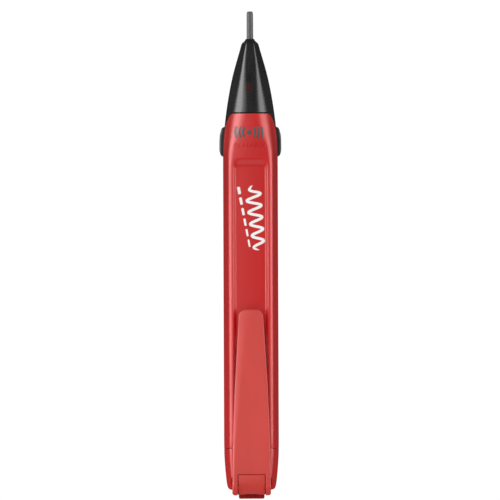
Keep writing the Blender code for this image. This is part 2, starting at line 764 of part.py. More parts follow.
def make_carrier():
    carrier = place("board_carrier", cavity_body(*CARRIER_WALL_Z, 0.35), BLACK)
    for side in (-1, 1):
        xs = sorted((side * RAIL_X[0], side * RAIL_X[1]))
        rail = box((xs[0], RAIL_Y[0], CARRIER_WALL_Z[1] - 0.6), (xs[1], RAIL_Y[1], RAIL_TOP_Z))
        join(carrier, rail, f"rail_{side + 1}")
        hole = cylinder(SCREW_HOLE, -5.0, 8.0, "Y", (side * SCREW_X, SCREW_Z), 16)
        cut(carrier, hole, f"screw_hole_{side + 1}")


def make_board():
    wide, narrow = BOARD_HALF
    low, step, high = BOARD_Z
    outline = [(-wide, low), (wide, low), (wide, step), (narrow, step), (narrow, high), (-narrow, high),
               (-narrow, step), (-wide, step)]
    board = place("circuit_board", plate(outline, *BOARD_Y, "Y"), BOARD_GREEN)
    for number, side in ((1, -1), (2, 1)):
        centre = (side * SCREW_X, SCREW_Z)
        cut(board, cylinder(SCREW_HOLE, -5.0, 8.0, "Y", centre, 16), f"hole_{number}")
        head_low = BOARD_Y[0] - GAP - 0.8
        head_high = BOARD_Y[0] - GAP
        tall = head_high - head_low
        profile = ((0, 3.6), (0.45, 3.4), (0.45, tall), (1.1, tall), (1.1, 0.3), (0.9, 0.0), (0, 0))
        place_at = (centre[0], head_low, centre[1])
        smooth(turned(f"board_screw_{number}", profile, STEEL, place_at, "Y", 16))


def make_board_parts():
    front = BOARD_Y[0] - GAP
    rear = BOARD_Y[1] + GAP
    place("controller_chip", box((-1.95, front - 1.4, 127.2), (1.95, front, 132.1), 0.15), CHIP_BLACK)
    place("storage_capacitor", box((-1.4, rear, 123.0), (1.4, rear + 1.9, 126.5), 0.15), CHIP_BLACK)
    place("input_resistor", box((-0.8, rear, 134.5), (0.8, rear + 0.6, 137.7), 0.08), CHIP_BLACK)
    place("green_led", box((2.3, front - 1.1, 129.0), (3.3, front, 131.0), 0.1), LAMP_GREEN)

    low, high = LAMP_Z
    radius = 1.5
    dome_steps = 5
    profile = []
    for i in range(dome_steps + 1):
        angle = math.pi / 2 * i / dome_steps
        profile.append((radius * math.sin(angle), high - low - radius + radius * math.cos(angle)))
    profile += [(radius, 1.0), (1.8, 1.0), (1.8, 0.0), (0, 0)]
    lamp = turned("red_led", profile, LAMP_RED, (LAMP_X, LAMP_Y, low), steps=20)
    for i, x in enumerate((LAMP_X - 1.27, LAMP_X + 0.82)):
        leg = [(LAMP_Y, low + 0.3), (LAMP_Y, 133.6), (front, 133.6), (front, 134.05), (LAMP_Y + 0.45, 134.05),
               (LAMP_Y + 0.45, low + 0.3)]
        join(lamp, plate(leg, x, x + 0.45, "X"), f"leg_{i}")
    smooth(lamp)

    depth = 3.7
    profile = ((4.2, depth), (4.8, depth), (4.8, 0.0), (1.0, 0.0), (1.0, 0.6), (4.2, 0.6), (4.2, depth))
    smooth(turned("buzzer_case", profile, BLACK, (0, front - depth, BUZZER_Z), "Y", 32))
    place("buzzer_disc", cylinder(3.8, front - 2.3, front - 2.0, "Y", (0, BUZZER_Z), 32), BRASS)


def make_contacts():
    wall = CARRIER_WALL_Z[0] - GAP
    cell_top = CELL_FOOTS_Z[1] + CELL_LENGTH
    leaf = [(-1.8, cell_top + GAP), (2.6, cell_top + GAP), (2.6, cell_top + 0.6), (-1.5, cell_top + 0.6),
            (-1.5, wall), (-1.8, wall)]
    place("positive_contact", plate(leaf, -1.6, 1.6, "X"), BRASS)
    pad_y = (4.0, 6.6)
    place("return_contact", box((-1.4, pad_y[0], STRIP_TOP_Z + GAP), (1.4, pad_y[1], wall), 0.05), BRASS)


def make_button():
    low, high = BUTTON_FLANGE_Y
    half_x, half_z = BUTTON_HALF
    rings = []
    for y, grow in ((low, BUTTON_FLANGE), (high, BUTTON_FLANGE), (high, 0.0), (BUTTON_TOP_Y - 0.4, 0.0),
                    (BUTTON_TOP_Y, -0.4)):
        rings.append([(x, y, z) for x, z in stadium(half_x + grow, half_z + grow, BUTTON_Z)])
    button = place("power_button", loft(rings), BLACK)
    set_origin(button, (0, BUTTON_TOP_Y, BUTTON_Z))

    half = SWITCH_HALF
    front, back = SWITCH_Y
    body = place("switch_body", box((-half, front, BUTTON_Z - half), (half, back, BUTTON_Z + half), 0.2), BLACK)
    bore = cylinder(PLUNGER_RADIUS + GAP, SWITCH_Y[1] - 1.3, 9.0, "Y", (0, BUTTON_Z))
    cut(body, bore, "plunger_bore")
    plunger = place("switch_plunger", cylinder(PLUNGER_RADIUS, *PLUNGER_Y, "Y", (0, BUTTON_Z)), BLACK)
    set_origin(plunger, (0, PLUNGER_Y[1], BUTTON_Z))


def main():
    channel = make_casing()
    make_guards()
    make_fin()
    make_end_cap(channel)
    make_batteries()
    make_clip()
    make_carrier()
    make_board()
    make_board_parts()
    make_contacts()
    make_button()
    for part in PARTS.objects:
        if part.type == "MESH" and not part.data.has_custom_normals:
            smooth(part)


main()
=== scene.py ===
"""Looks of the non-contact voltage tester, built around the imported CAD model.

Sizes are in millimetres about the tester's own axis, as in the CAD source. put() turns a finished
mesh into metres and moves it to the frame's place for that axis. The clip faces -Y and +Z is up.
"""

import math

import bmesh
import bpy
import numpy as np
from mathutils import Matrix, Vector


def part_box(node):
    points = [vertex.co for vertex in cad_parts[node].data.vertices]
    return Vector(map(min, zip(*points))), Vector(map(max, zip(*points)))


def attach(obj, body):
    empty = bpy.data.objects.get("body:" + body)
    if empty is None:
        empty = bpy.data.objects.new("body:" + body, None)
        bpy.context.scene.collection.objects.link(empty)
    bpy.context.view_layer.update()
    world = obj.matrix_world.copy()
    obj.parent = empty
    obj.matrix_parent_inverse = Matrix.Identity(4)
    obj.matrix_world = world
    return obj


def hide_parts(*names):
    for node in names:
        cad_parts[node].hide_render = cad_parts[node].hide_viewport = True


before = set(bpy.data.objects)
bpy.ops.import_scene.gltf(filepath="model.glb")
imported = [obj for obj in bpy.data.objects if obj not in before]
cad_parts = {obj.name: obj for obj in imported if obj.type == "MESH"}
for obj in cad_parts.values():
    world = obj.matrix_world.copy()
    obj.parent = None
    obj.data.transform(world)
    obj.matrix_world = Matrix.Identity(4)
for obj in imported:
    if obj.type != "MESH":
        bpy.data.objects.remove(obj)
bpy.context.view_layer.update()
MM = 0.001

# ---------------- driving dimensions, millimetres

# Outer skin: height, half width, half width of the front face, half depth, half height of the
# flank, and the radius of the front and rear edges. The section is an octagon with soft corners.
SKIN = (
    (3.0, 7.0, 5.35, 7.7, 2.6, 1.2),
    (3.4, 7.75, 5.95, 8.4, 2.9, 1.4),
    (4.4, 8.2, 6.3, 8.7, 3.0, 1.6),
    (8.0, 8.7, 6.75, 9.15, 3.2, 1.8),
    (12.0, 9.03, 7.2, 9.4, 3.3, 1.8),
    (16.0, 9.22, 7.4, 9.5, 3.3, 1.8),
    (20.0, 9.27, 7.4, 9.5, 3.3, 1.8),
    (112.0, 9.27, 7.4, 9.5, 3.3, 1.8),
    (118.0, 9.24, 7.25, 9.5, 3.3, 2.5),
    (122.0, 9.12, 6.6, 9.42, 3.2, 3.8),
    (126.0, 8.8, 5.75, 9.25, 3.0, 5.2),
    (131.0, 8.2, 4.65, 8.85, 2.6, 5.8),
    (135.0, 7.6, 4.0, 8.3, 2.3, 5.2),
    (140.0, 6.68, 3.25, 7.4, 2.0, 3.6),
    (143.5, 5.9, 2.8, 6.7, 1.7, 2.6),
    (148.6, 4.5, 2.2, 5.5, 1.3, 1.5),
    (152.0, 3.5, 1.7, 4.7, 1.0, 1.0),
    (153.8, 2.98, 1.4, 4.2, 0.8, 0.7),
    (154.3, 2.72, 1.3, 4.0, 0.7, 0.6),
    (154.8, 2.15, 1.2, 3.7, 0.6, 0.4),
)
HALF_DEPTH = 9.5
FLANK_RADIUS = 4.0
GAP = 0.3
PARTING_GAP = 0.1
PARTING_LAP = 0.7
SIDE_WALL = 1.5
REAR_WALL = 1.6
FRONT_WALL_BODY = 2.2
FRONT_WALL_NOSE = 1.4
THINNING_Z = (117.0, 121.0)
HOLLOW_INSET = 1.0
HOLLOW_FACE_LEAST = 0.9
HOLLOW_FLANK_INSET = 0.3
HOLLOW_EDGE = 1.0
HOLLOW_LIP = 0.08
NOSE_INSET = 0.1
CAVITY_TOP_Z = 151.3
CAVITY_FOOT_Z = 20.0

# Edge of the red casing on the flank: a quarter ellipse that ends beside the cheek of the nose.
ARCH_CENTRE_Y = 6.3
ARCH_CENTRE_Z = 120.0
CHEEK_HALF = 3.05
CHEEK_FOOT_Z = 116.0
CHEEK_FOOT_RADIUS = 1.6

CHANNEL_HALF = 5.0
CHANNEL_DEPTH = 1.2
CHANNEL_FOOT_Z = -50.0
CHANNEL_TOP_Z = 112.9
CHANNEL_SIDE_SLOPE = 0.72
CHANNEL_RAMP_SLOPE = 1.75
CHANNEL_CORNER = 1.2
CHANNEL_SOFTNESS = 0.3

LABEL_HALF = 4.8
LABEL_Z = (42.0, 94.0)
LABEL_DEPTH = 0.4
LABEL_CORNER = 1.5
LABEL_SLOPE = 0.5
LABEL_SOFTNESS = 0.12

HINGE_Y = -10.4
HINGE_Z = 4.4
ARM_RADIUS = 3.2

MOULD_EDGE = 0.22
ARCH_EDGE = 0.04
SEAM_EDGE = 0.08
SEAM_GAP = 0.1
FRONT_CROWN = 0.3
NOSE_CROWN = 0.8
CROWN_RISE_Z = (113.0, 126.0)
CROWN_HALF = 6.2
DOME_START = 3.0
FACE_ARC_STEPS = 12
FLANK_ARC_STEPS = 4


def top(node):
    """The height of a CAD node's highest point, in millimetres."""
    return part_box(node)[1].z / MM


def foot(node):
    """The height of a CAD node's lowest point, in millimetres."""
    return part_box(node)[0].z / MM


AXIS_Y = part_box("rear_housing")[1].y / MM - HALF_DEPTH
CASING_FOOT_Z = foot("front_housing")
SHELL_TOP_Z = top("front_housing")
NOSE_TOP_Z = top("nose_cone")
CAP_TOP_Z = CASING_FOOT_Z - SEAM_GAP

# ---------------- curves and outlines


def through(points):
    """A smooth curve through points (x, y) that never overshoots them, as a function."""
    xs, ys = np.array(list(points), float).T
    gap = np.diff(xs)
    slope = np.diff(ys) / gap
    pull = np.zeros(len(ys))
    pull[0] = slope[0]
    pull[-1] = slope[-1]
    for i in range(1, len(ys) - 1):
        if slope[i - 1] * slope[i] > 0:
            a = 2 * gap[i] + gap[i - 1]
            b = gap[i] + 2 * gap[i - 1]
            pull[i] = (a + b) / (a / slope[i - 1] + b / slope[i])

    def at(x):
        x = np.clip(x, xs[0], xs[-1])
        i = np.clip(np.searchsorted(xs, x, side="right") - 1, 0, len(gap) - 1)
        t = (x - xs[i]) / gap[i]
        return ((1 + 2 * t) * (1 - t) ** 2 * ys[i] + t * (1 - t) ** 2 * gap[i] * pull[i]
                + t * t * (3 - 2 * t) * ys[i + 1] + t * t * (t - 1) * gap[i] * pull[i + 1])

    return at


SKIN_CURVES = [through((row[0], row[i]) for row in SKIN) for i in range(1, 6)]


def skin_sizes(z):
    """Half width, face half width, half depth, flank half height and edge radius at a height."""
    return [float(curve(z)) for curve in SKIN_CURVES]


def cavity_sizes(z):
    """Half width, face half width, front depth, rear depth and flank half height of the hollow."""
    half, face, depth, flank, _ = skin_sizes(max(z, CAVITY_FOOT_Z))
    low, high = THINNING_Z
    share = min(max((z - low) / (high - low), 0.0), 1.0)
    front_wall = FRONT_WALL_BODY + (FRONT_WALL_NOSE - FRONT_WALL_BODY) * share
    return (half - SIDE_WALL, max(face - HOLLOW_INSET, HOLLOW_FACE_LEAST), depth - front_wall,
            depth - REAR_WALL, flank - HOLLOW_FLANK_INSET)


def arc(before, corner, after, radius, steps):
    """Points of an arc that rounds a corner. The radius gives way where an edge is too short."""
    before, corner, after = Vector(before), Vector(corner), Vector(after)
    back = (before - corner).normalized()
    onward = (after - corner).normalized()
    half = back.angle(onward) / 2
    reach = min(radius / math.tan(half), 0.48 * (before - corner).length, 0.48 * (after - corner).length)
    radius = reach * math.tan(half)
    centre = corner + (back + onward).normalized() * (radius / math.sin(half))
    start = corner + back * reach - centre
    turn = math.pi - 2 * half
    if start.x * -back.y + start.y * back.x < 0:
        turn = -turn
    return [centre + Matrix.Rotation(turn * i / steps, 2) @ start for i in range(steps + 1)]


def trace(corners):
    """A closed outline. Each corner is x, y, radius, arc steps, and the shares of the run after it that
    get points."""
    count = len(corners)
    places = [corner[:2] for corner in corners]
    arcs = [arc(places[i - 1], places[i], places[(i + 1) % count], corners[i][2], corners[i][3])
            for i in range(count)]
    points = []
    for i, (*_, run) in enumerate(corners):
        points += arcs[i]
        start = arcs[i][-1]
        end = arcs[(i + 1) % count][0]
        points += [start.lerp(end, share) for share in run]
    return np.array([tuple(point) for point in points])


def spread(*stretches):
    """Shares between 0 and 1 from (start, end, how many steps), without the two ends."""
    shares = []
    for start, end, steps in stretches:
        shares += [start + (end - start) * i / steps for i in range(steps)]
    return tuple(shares[1:])


FLANK_RUN = spread((0, 1, 12))
FACET_RUN = spread((0, 1, 10))
CHANNEL_RUN = spread((0, 0.11, 16), (0.11, 0.89, 12), (0.89, 1, 16))
LABEL_RUN = spread((0, 0.07, 3), (0.07, 0.14, 10), (0.14, 0.86, 14), (0.86, 0.93, 10), (0.93, 1, 3))
NOSE_RUN = spread((0, 1, 8))


def crown_drop(x, z):
    """How much lower the slightly domed front is at x than along its middle."""
    low, high = CROWN_RISE_Z
    share = np.clip((z - low) / (high - low), 0, 1)
    crown = FRONT_CROWN + (NOSE_CROWN - FRONT_CROWN) * share * share * (3 - 2 * share)
    return crown * (x / CROWN_HALF) ** 2


def domed(outline, z):
    """An outline whose front, at negative y, is slightly domed instead of flat."""
    x, y = outline[:, 0], outline[:, 1]
    forward = np.clip((-y - DOME_START) / (HALF_DEPTH - DOME_START), 0, 1)
    return np.stack([x, y + crown_drop(x, z) * forward], 1)


def casing_loop(z, side, face_run):
    """One casing half's section: round the outside, then back along the hollow. side is -1 in front."""
    half, face, depth, flank, radius = skin_sizes(z)
    in_half, in_face, front, rear, in_flank = cavity_sizes(z)
    in_depth = front if side < 0 else rear
    split = side * PARTING_GAP
    loop = []
    for wide, end, deep, high, edge, lip, joint in (
            (half, face, depth, flank, radius, MOULD_EDGE, split),
            (-in_half, -in_face, in_depth, in_flank, HOLLOW_EDGE, HOLLOW_LIP, split + PARTING_LAP)):
        loop += [
            (-wide, joint, lip, 3, FLANK_RUN),
            (-wide, side * high, FLANK_RADIUS, FLANK_ARC_STEPS, FACET_RUN),
            (-end, side * deep, edge, FACE_ARC_STEPS, face_run),
            (end, side * deep, edge, FACE_ARC_STEPS, FACET_RUN),
            (wide, side * high, FLANK_RADIUS, FLANK_ARC_STEPS, FLANK_RUN),
            (wide, joint, lip, 3, ()),
        ]
    return domed(trace(loop), z)


def octagon(half, face, front, rear, flank, radius, front_run=NOSE_RUN):
    """A whole section, starting at the front left edge."""
    edge = (radius, FACE_ARC_STEPS)
    side = (FLANK_RADIUS, FLANK_ARC_STEPS)
    return trace((
        (-face, -front, *edge, front_run), (face, -front, *edge, FACET_RUN),
        (half, -flank, *side, FLANK_RUN), (half, flank, *side, FACET_RUN),
        (face, rear, *edge, NOSE_RUN), (-face, rear, *edge, FACET_RUN),
        (-half, flank, *side, FLANK_RUN), (-half, -flank, *side, FACET_RUN),
    ))


def outer_loop(z, inset=0.0, front_run=NOSE_RUN):
    """The outer skin's section at a height."""
    half, face, depth, flank, radius = skin_sizes(z)
    outline = octagon(half - inset, face - inset / 2, depth - inset, depth - inset, flank, radius, front_run)
    return domed(outline, z)


def hollow_loop(z, clearance=0.0):
    """The hollow's section at a height, or that of a body that fits inside it."""
    half, face, front, rear, flank = cavity_sizes(z)
    return octagon(half - clearance, face - clearance / 2, front - clearance, rear - clearance, flank,
                   HOLLOW_EDGE)


def arch_height(y, gap=0.0):
    """How high the casing reaches on its flank, at a distance from the parting line."""
    y = np.abs(y)
    reach = ARCH_CENTRE_Y - CHEEK_HALF + gap
    rise = SHELL_TOP_Z - ARCH_CENTRE_Z + gap
    share = np.clip((ARCH_CENTRE_Y - y) / reach, 0, 1)
    on_arch = ARCH_CENTRE_Z + rise * np.sqrt(1 - share ** 2)
    half = CHEEK_HALF - gap
    radius = CHEEK_FOOT_RADIUS
    across = np.clip(y - (half - radius), 0, radius)
    on_foot = CHEEK_FOOT_Z + gap + radius - np.sqrt(radius ** 2 - across ** 2)
    return np.where(y >= half, on_arch, on_foot)


# ---------------- mesh building


def finished(work):
    """The mesh of a bmesh, which is used up."""
    bmesh.ops.recalc_face_normals(work, faces=work.faces)
    mesh = bpy.data.meshes.new("mesh")
    work.to_mesh(mesh)
    work.free()
    return mesh


def lattice(rows, closed=False, ends=None):
    """A mesh over rows of points. Every row is a closed loop. closed joins the last row to the first, and
    ends is "fill" for flat ends or "wall" for loops that run out along a wall and back."""
    work = bmesh.new()
    grid = [[work.verts.new(tuple(point)) for point in row] for row in rows]
    count = len(grid[0])
    pairs = list(zip(grid, grid[1:])) + ([(grid[-1], grid[0])] if closed else [])
    for low, high in pairs:
        for i in range(count):
            j = (i + 1) % count
            work.faces.new((low[i], low[j], high[j], high[i]))
    for row in (grid[0], grid[-1]) if ends else ():
        if ends == "fill":
            work.faces.new(row)
        else:
            for i in range(count // 2 - 1):
                work.faces.new((row[i], row[i + 1], row[count - 2 - i], row[count - 1 - i]))
    return finished(work)


def inward(x, y):
    """Unit vectors that point to the left of a loop's direction of travel, or into its area."""
    tx = np.roll(x, -1, axis=-1) - np.roll(x, 1, axis=-1)
    ty = np.roll(y, -1, axis=-1) - np.roll(y, 1, axis=-1)
    length = np.hypot(tx, ty) + 1e-12
    area = np.sum(x * np.roll(y, -1, axis=-1) - y * np.roll(x, -1, axis=-1), axis=-1)
    sign = np.where(area > 0, 1.0, -1.0)[..., None]
    return -ty / length * sign, tx / length * sign


def quarter_turn(steps):
    """Angles from 0 to 90 degrees."""
    return [math.pi / 2 * i / steps for i in range(steps + 1)]


def full_turn(steps):
    """Angles round a circle."""
    return np.linspace(0, 2 * math.pi, steps, endpoint=False)


def edge_steps(radius, steps=4):
    """How far from the end, and how far inward, each row of a rounded end lies."""
    return [(radius * (1 - math.cos(a)), radius * (1 - math.sin(a))) for a in quarter_turn(steps)]


def rim_up(z, radius):
    """Levels that round off an end, from its height up."""
    return [(z + rise, inset) for rise, inset in edge_steps(radius)]


def rim_down(z, radius):
    """Levels that round off an upper end, up to its height."""
    return [(z - rise, inset) for rise, inset in edge_steps(radius)[::-1]]


class Skin:
    """Sections at many heights, read between them by straight lines."""

    def __init__(self, loop, heights):
        self.heights = np.asarray(heights)
        table = np.array([loop(z) for z in heights])
        self.x = table[:, :, 0]
        self.y = table[:, :, 1]
        self.count = self.x.shape[1]

    def rows(self, z, inset):
        """Points for a table of heights, one column for each point of the loop."""
        x, y = [np.stack([np.interp(z[:, i], self.heights, table[:, i]) for i in range(self.count)], 1)
                for table in (self.x, self.y)]
        nx, ny = inward(x, y)
        inset = np.asarray(inset)[:, None]
        return np.stack([x + nx * inset, y + ny * inset, z], 2)

    def meets(self, limit):
        """For each column, the height at which it first reaches limit(y)."""
        found = np.empty(self.count)
        for i in range(self.count):
            over = self.heights - limit(self.y[:, i])
            k = int(np.argmax(over >= 0)) if (over >= 0).any() else len(over) - 1
            k = max(k, 1)
            share = np.clip(-over[k - 1] / (over[k] - over[k - 1] + 1e-12), 0, 1)
            found[i] = self.heights[k - 1] + share * (self.heights[k] - self.heights[k - 1])
        return found


RECESS_REACH = 12.0
RECESS_HALVINGS = 26


def soft_clamp(value, low, high, softness):
    """value held between low and high, with round shoulders."""
    def soft_floor(v):
        t = np.clip(v / softness, -1, 1)
        return np.where(v > softness, v, np.where(v < -softness, 0, softness * (t + 1) ** 2 / 4))
    return high - soft_floor(high - low - soft_floor(value - low))


def recess(x, z, half, low, high, side_slope, end_slope, corner, depth, softness):
    """How far a recess with sloping walls and round corners goes in at (x, z)."""
    across = np.maximum(np.abs(x) - (half - corner), 0)
    along = np.maximum(np.maximum(z - (high - corner), (low + corner) - z), 0)
    least = np.full(np.shape(across), -corner / max(side_slope, end_slope) * 0.98)
    most = np.full(np.shape(across), RECESS_REACH)
    for _ in range(RECESS_HALVINGS):
        middle = (least + most) / 2
        outside = ((across / (corner + side_slope * middle)) ** 2
                   + (along / (corner + end_slope * middle)) ** 2) > 1
        least = np.where(outside, middle, least)
        most = np.where(outside, most, middle)
    return depth - soft_clamp(most, 0.0, depth, softness)


def channel_depth(x, z):
    """How deep the long recess in the front face is. It runs on through the cap below."""
    return recess(x, z, CHANNEL_HALF, CHANNEL_FOOT_Z, CHANNEL_TOP_Z, CHANNEL_SIDE_SLOPE,
                  CHANNEL_RAMP_SLOPE, CHANNEL_CORNER, CHANNEL_DEPTH, CHANNEL_SOFTNESS)


def label_depth(x, z):
    """How deep the shallow recess for a label in the back is."""
    return recess(x, z, LABEL_HALF, *LABEL_Z, LABEL_SLOPE, LABEL_SLOPE, LABEL_CORNER, LABEL_DEPTH,
                  LABEL_SOFTNESS)


def added(name, data):
    """A new object in the scene."""
    thing = bpy.data.objects.new(name, data)
    bpy.context.scene.collection.objects.link(thing)
    return thing


def box(low, high, bevel=0.0, segments=3):
    """A block between two corners, with round edges if it has a bevel."""
    low, high = Vector(low), Vector(high)
    work = bmesh.new()
    size = Matrix.Diagonal((*(high - low), 1.0))
    bmesh.ops.create_cube(work, size=1.0, matrix=Matrix.Translation((low + high) / 2) @ size)
    if bevel:
        bmesh.ops.bevel(work, geom=work.edges, offset=bevel, segments=segments, profile=0.5, affect="EDGES")
    return finished(work)


def rod(radius, length, place, steps):
    """A round bar along the Z axis of a matrix, with its middle at that matrix's place."""
    work = bmesh.new()
    bmesh.ops.create_cone(work, cap_ends=True, segments=steps, radius1=radius, radius2=radius,
                          depth=length, matrix=place)
    return finished(work)


def bar(radius, half):
    """A round bar along X, about the hinge."""
    place = Matrix.Translation((0, HINGE_Y, HINGE_Z)) @ Matrix.Rotation(math.pi / 2, 4, "Y")
    return rod(radius, 2 * half, place, 72)


def carved(mesh, *steps):
    """The mesh after Boolean steps, each an operation and another mesh. All of them are used up."""
    body = added("body", mesh)
    tools = [added("tool", tool_mesh) for _, tool_mesh in steps]
    for (operation, _), tool in zip(steps, tools):
        modifier = body.modifiers.new("step", "BOOLEAN")
        modifier.operation = operation
        modifier.object = tool
        modifier.solver = "EXACT"
    bpy.context.view_layer.update()
    graph = bpy.context.evaluated_depsgraph_get()
    result = bpy.data.meshes.new_from_object(body.evaluated_get(graph))
    for thing in [body, *tools]:
        data = thing.data
        bpy.data.objects.remove(thing)
        bpy.data.meshes.remove(data)
    return result


def put(name, mesh, material, body, slot, *nodes, sharp=42.0):
    """Adds a finished mesh as a visible piece that stands for the CAD nodes it is given."""
    mesh.name = name
    mesh.transform(Matrix.Translation((0, AXIS_Y * MM, 0)) @ Matrix.Scale(MM, 4))
    mesh.materials.clear()
    mesh.materials.append(material)
    mesh.shade_smooth()
    mesh.set_sharp_from_angle(angle=math.radians(sharp))
    thing = added(name, mesh)
    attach(thing, body)
    if nodes:
        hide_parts(*nodes)
    return thing


# ---------------- materials


class Graph:
    """A node tree, with short ways to add to it."""

    def __init__(self, tree):
        self.tree = tree
        self.shader = tree.nodes.get("Principled BSDF")

    def feed(self, node, inputs):
        """Gives a node's sockets, by name or number, values or other nodes' outputs."""
        for key, value in inputs.items():
            socket = node.inputs[key]
            if isinstance(value, bpy.types.NodeSocket):
                self.tree.links.new(value, socket)
            else:
                socket.default_value = value

    def add(self, kind, inputs, output=0, **settings):
        """An output of a new node."""
        node = self.tree.nodes.new("ShaderNode" + kind)
        for name, value in settings.items():
            setattr(node, name, value)
        self.feed(node, inputs)
        return node.outputs[output]

    def place(self):
        """Where a point is on its own object."""
        return self.add("TexCoord", {}, "Object")


def principled(name, colour, roughness, metallic=0.0):
    """A new material with a Principled shader, and its node tree."""
    material = bpy.data.materials.new(name)
    material.use_nodes = True
    graph = Graph(material.node_tree)
    graph.feed(graph.shader, {"Base Color": (*colour, 1.0), "Roughness": roughness, "Metallic": metallic})
    return material, graph


def object_noise(graph, size, detail=2.0, stretch=(1.0, 1.0, 1.0)):
    """Noise whose grains are about size millimetres across."""
    scale = [1.0 / (size * MM * s) for s in stretch]
    place = graph.add("Mapping", {"Vector": graph.place(), "Scale": scale})
    return graph.add("TexNoise", {"Vector": place, "Scale": 1.0, "Detail": detail}, "Fac")


def remapped(graph, source, low, high, start=0.3, end=0.7, **settings):
    """A value moved from the span start to end to the span low to high."""
    inputs = {"Value": source, "From Min": start, "From Max": end, "To Min": low, "To Max": high}
    return graph.add("MapRange", inputs, **settings)


def mixed(graph, share, first, second):
    """Two colours, or a link's colour and a colour, mixed by a share."""
    first, second = [value if isinstance(value, bpy.types.NodeSocket) else (*value, 1.0)
                     for value in (first, second)]
    return graph.add("Mix", {"Factor": share, 6: first, 7: second}, 2, data_type="RGBA")


def shade(colour, amount):
    """The colour made darker, or lighter where the amount is over 1."""
    return tuple(min(channel * amount, 1.0) for channel in colour)


def mottled(graph, size, detail, stretch, first, second):
    """Two colours mixed in soft patches."""
    share = remapped(graph, object_noise(graph, size, detail, stretch), 0.0, 1.0)
    return mixed(graph, share, first, second)


def finely_rough(graph, grain, low, high, strength, distance, stretch=(1.0, 1.0, 1.0)):
    """Fine grains that vary the roughness from low to high and stand out by a distance."""
    fine = object_noise(graph, grain, 2.0, stretch)
    bump = graph.add("Bump", {"Strength": strength, "Distance": distance * MM, "Height": fine})
    graph.feed(graph.shader, {"Roughness": remapped(graph, fine, low, high), "Normal": bump})


def painted_edge_highlight(graph, colour, lighter):
    """The colour, a little lighter along outside edges found from the mesh's pointiness: a painted edge
    highlight.
    """
    # Convex edges get the lighter colour: a painted highlight.
    edge = remapped(graph, graph.add("NewGeometry", {}, "Pointiness"), 0.0, 1.0, 0.53, 0.6)
    return mixed(graph, edge, colour, lighter)


def moulded(name, colour, roughness, grain=0.22, depth=0.012, strength=0.25, mottling=0.05, edge_highlight=1.12,
            gloss=0.5):
    """Spark-textured injection-moulded plastic with slight flow marks and a painted highlight along its
    edges.
    """
    material, graph = principled(name, colour, roughness)
    tone = mottled(graph, 9.0, 3.0, (1.0, 1.0, 3.0), shade(colour, 1 - mottling), shade(colour, 1 + mottling))
    # The last factor lightens outside edges: a painted edge highlight.
    edge_highlighted_tone = painted_edge_highlight(graph, tone, shade(colour, edge_highlight))
    graph.feed(graph.shader, {"Base Color": edge_highlighted_tone, "Specular IOR Level": gloss})
    finely_rough(graph, grain, roughness - 0.05, roughness + 0.06, strength, depth)
    return material


def metal(name, colour, roughness, grain=0.05, stretch=(1.0, 1.0, 8.0)):
    """Drawn or rolled metal with fine lines along its length."""
    material, graph = principled(name, colour, roughness, 1.0)
    tone = mottled(graph, 2.0, 2.0, (1.0, 1.0, 1.0), shade(colour, 0.88), colour)
    graph.feed(graph.shader, {"Base Color": tone})
    finely_rough(graph, grain, roughness - 0.08, roughness + 0.1, 0.15, 0.005, stretch)
    return material


def height_mask(graph, low, high, softness=0.05):
    """1 between two heights, in millimetres, and 0 elsewhere."""
    height = graph.add("SeparateXYZ", {"Vector": graph.place()}, "Z")
    rising = remapped(graph, height, 0.0, 1.0, (low - softness) * MM, low * MM)
    falling = remapped(graph, height, 1.0, 0.0, high * MM, (high + softness) * MM)
    return graph.add("Math", {0: rising, 1: falling}, operation="MULTIPLY")


def spot_mask(graph, centre, radii):
    """1 at a centre given in X and Z, falling to 0 at the radii, whatever the Y."""
    place = graph.add("Mapping", {
        "Vector": graph.place(), "Location": (-centre[0] / radii[0], 0.0, -centre[1] / radii[1]),
        "Scale": (1 / (radii[0] * MM), 0.0, 1 / (radii[1] * MM)),
    })
    length = graph.add("VectorMath", {0: place}, "Value", operation="LENGTH")
    return remapped(graph, length, 1.0, 0.0, 0.25, 1.0)


def smoked(name, colour, roughness):
    """Dark smoky plastic, opaque. The red lamp inside is painted onto its surface as a faint glowing spot,
    below a painted darker spot.
    """
    material, graph = principled(name, colour, roughness)
    tone = mottled(graph, 5.0, 2.0, (1.0, 1.0, 2.0), shade(colour, 0.85), shade(colour, 1.15))
    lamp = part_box("red_led")
    lamp_x = (lamp[0].x + lamp[1].x) / 2 / MM
    lamp_top = lamp[1].z / MM
    # A painted darker spot just above the lamp.
    painted_dark_spot = spot_mask(graph, (lamp_x, lamp_top + 1.6), (2.0, 2.6))
    tone = mixed(graph, painted_dark_spot, tone, shade(colour, 0.45))
    # A painted red glow where the lamp sits inside this opaque shell.
    glow = spot_mask(graph, (lamp_x, lamp_top - 1.8), (1.7, 2.4))
    graph.feed(graph.shader, {"Base Color": mixed(graph, glow, tone, PAINTED_LAMP_GLOW)})
    finely_rough(graph, 0.3, roughness - 0.03, roughness + 0.04, 0.08, 0.01)
    return material


RED_COLOUR = (0.545, 0.008, 0.007)
CLIP_COLOUR = (0.565, 0.034, 0.024)
# Colour of the lamp's glow, painted on the nose's surface.
PAINTED_LAMP_GLOW = (0.035, 0.006, 0.006)

# Each edge factor below paints a highlight along outside edges.
RED = moulded("red_plastic", RED_COLOUR, 0.33, strength=0.16, edge_highlight=1.02)
CLIP_RED = moulded("clip_plastic", CLIP_COLOUR, 0.42)
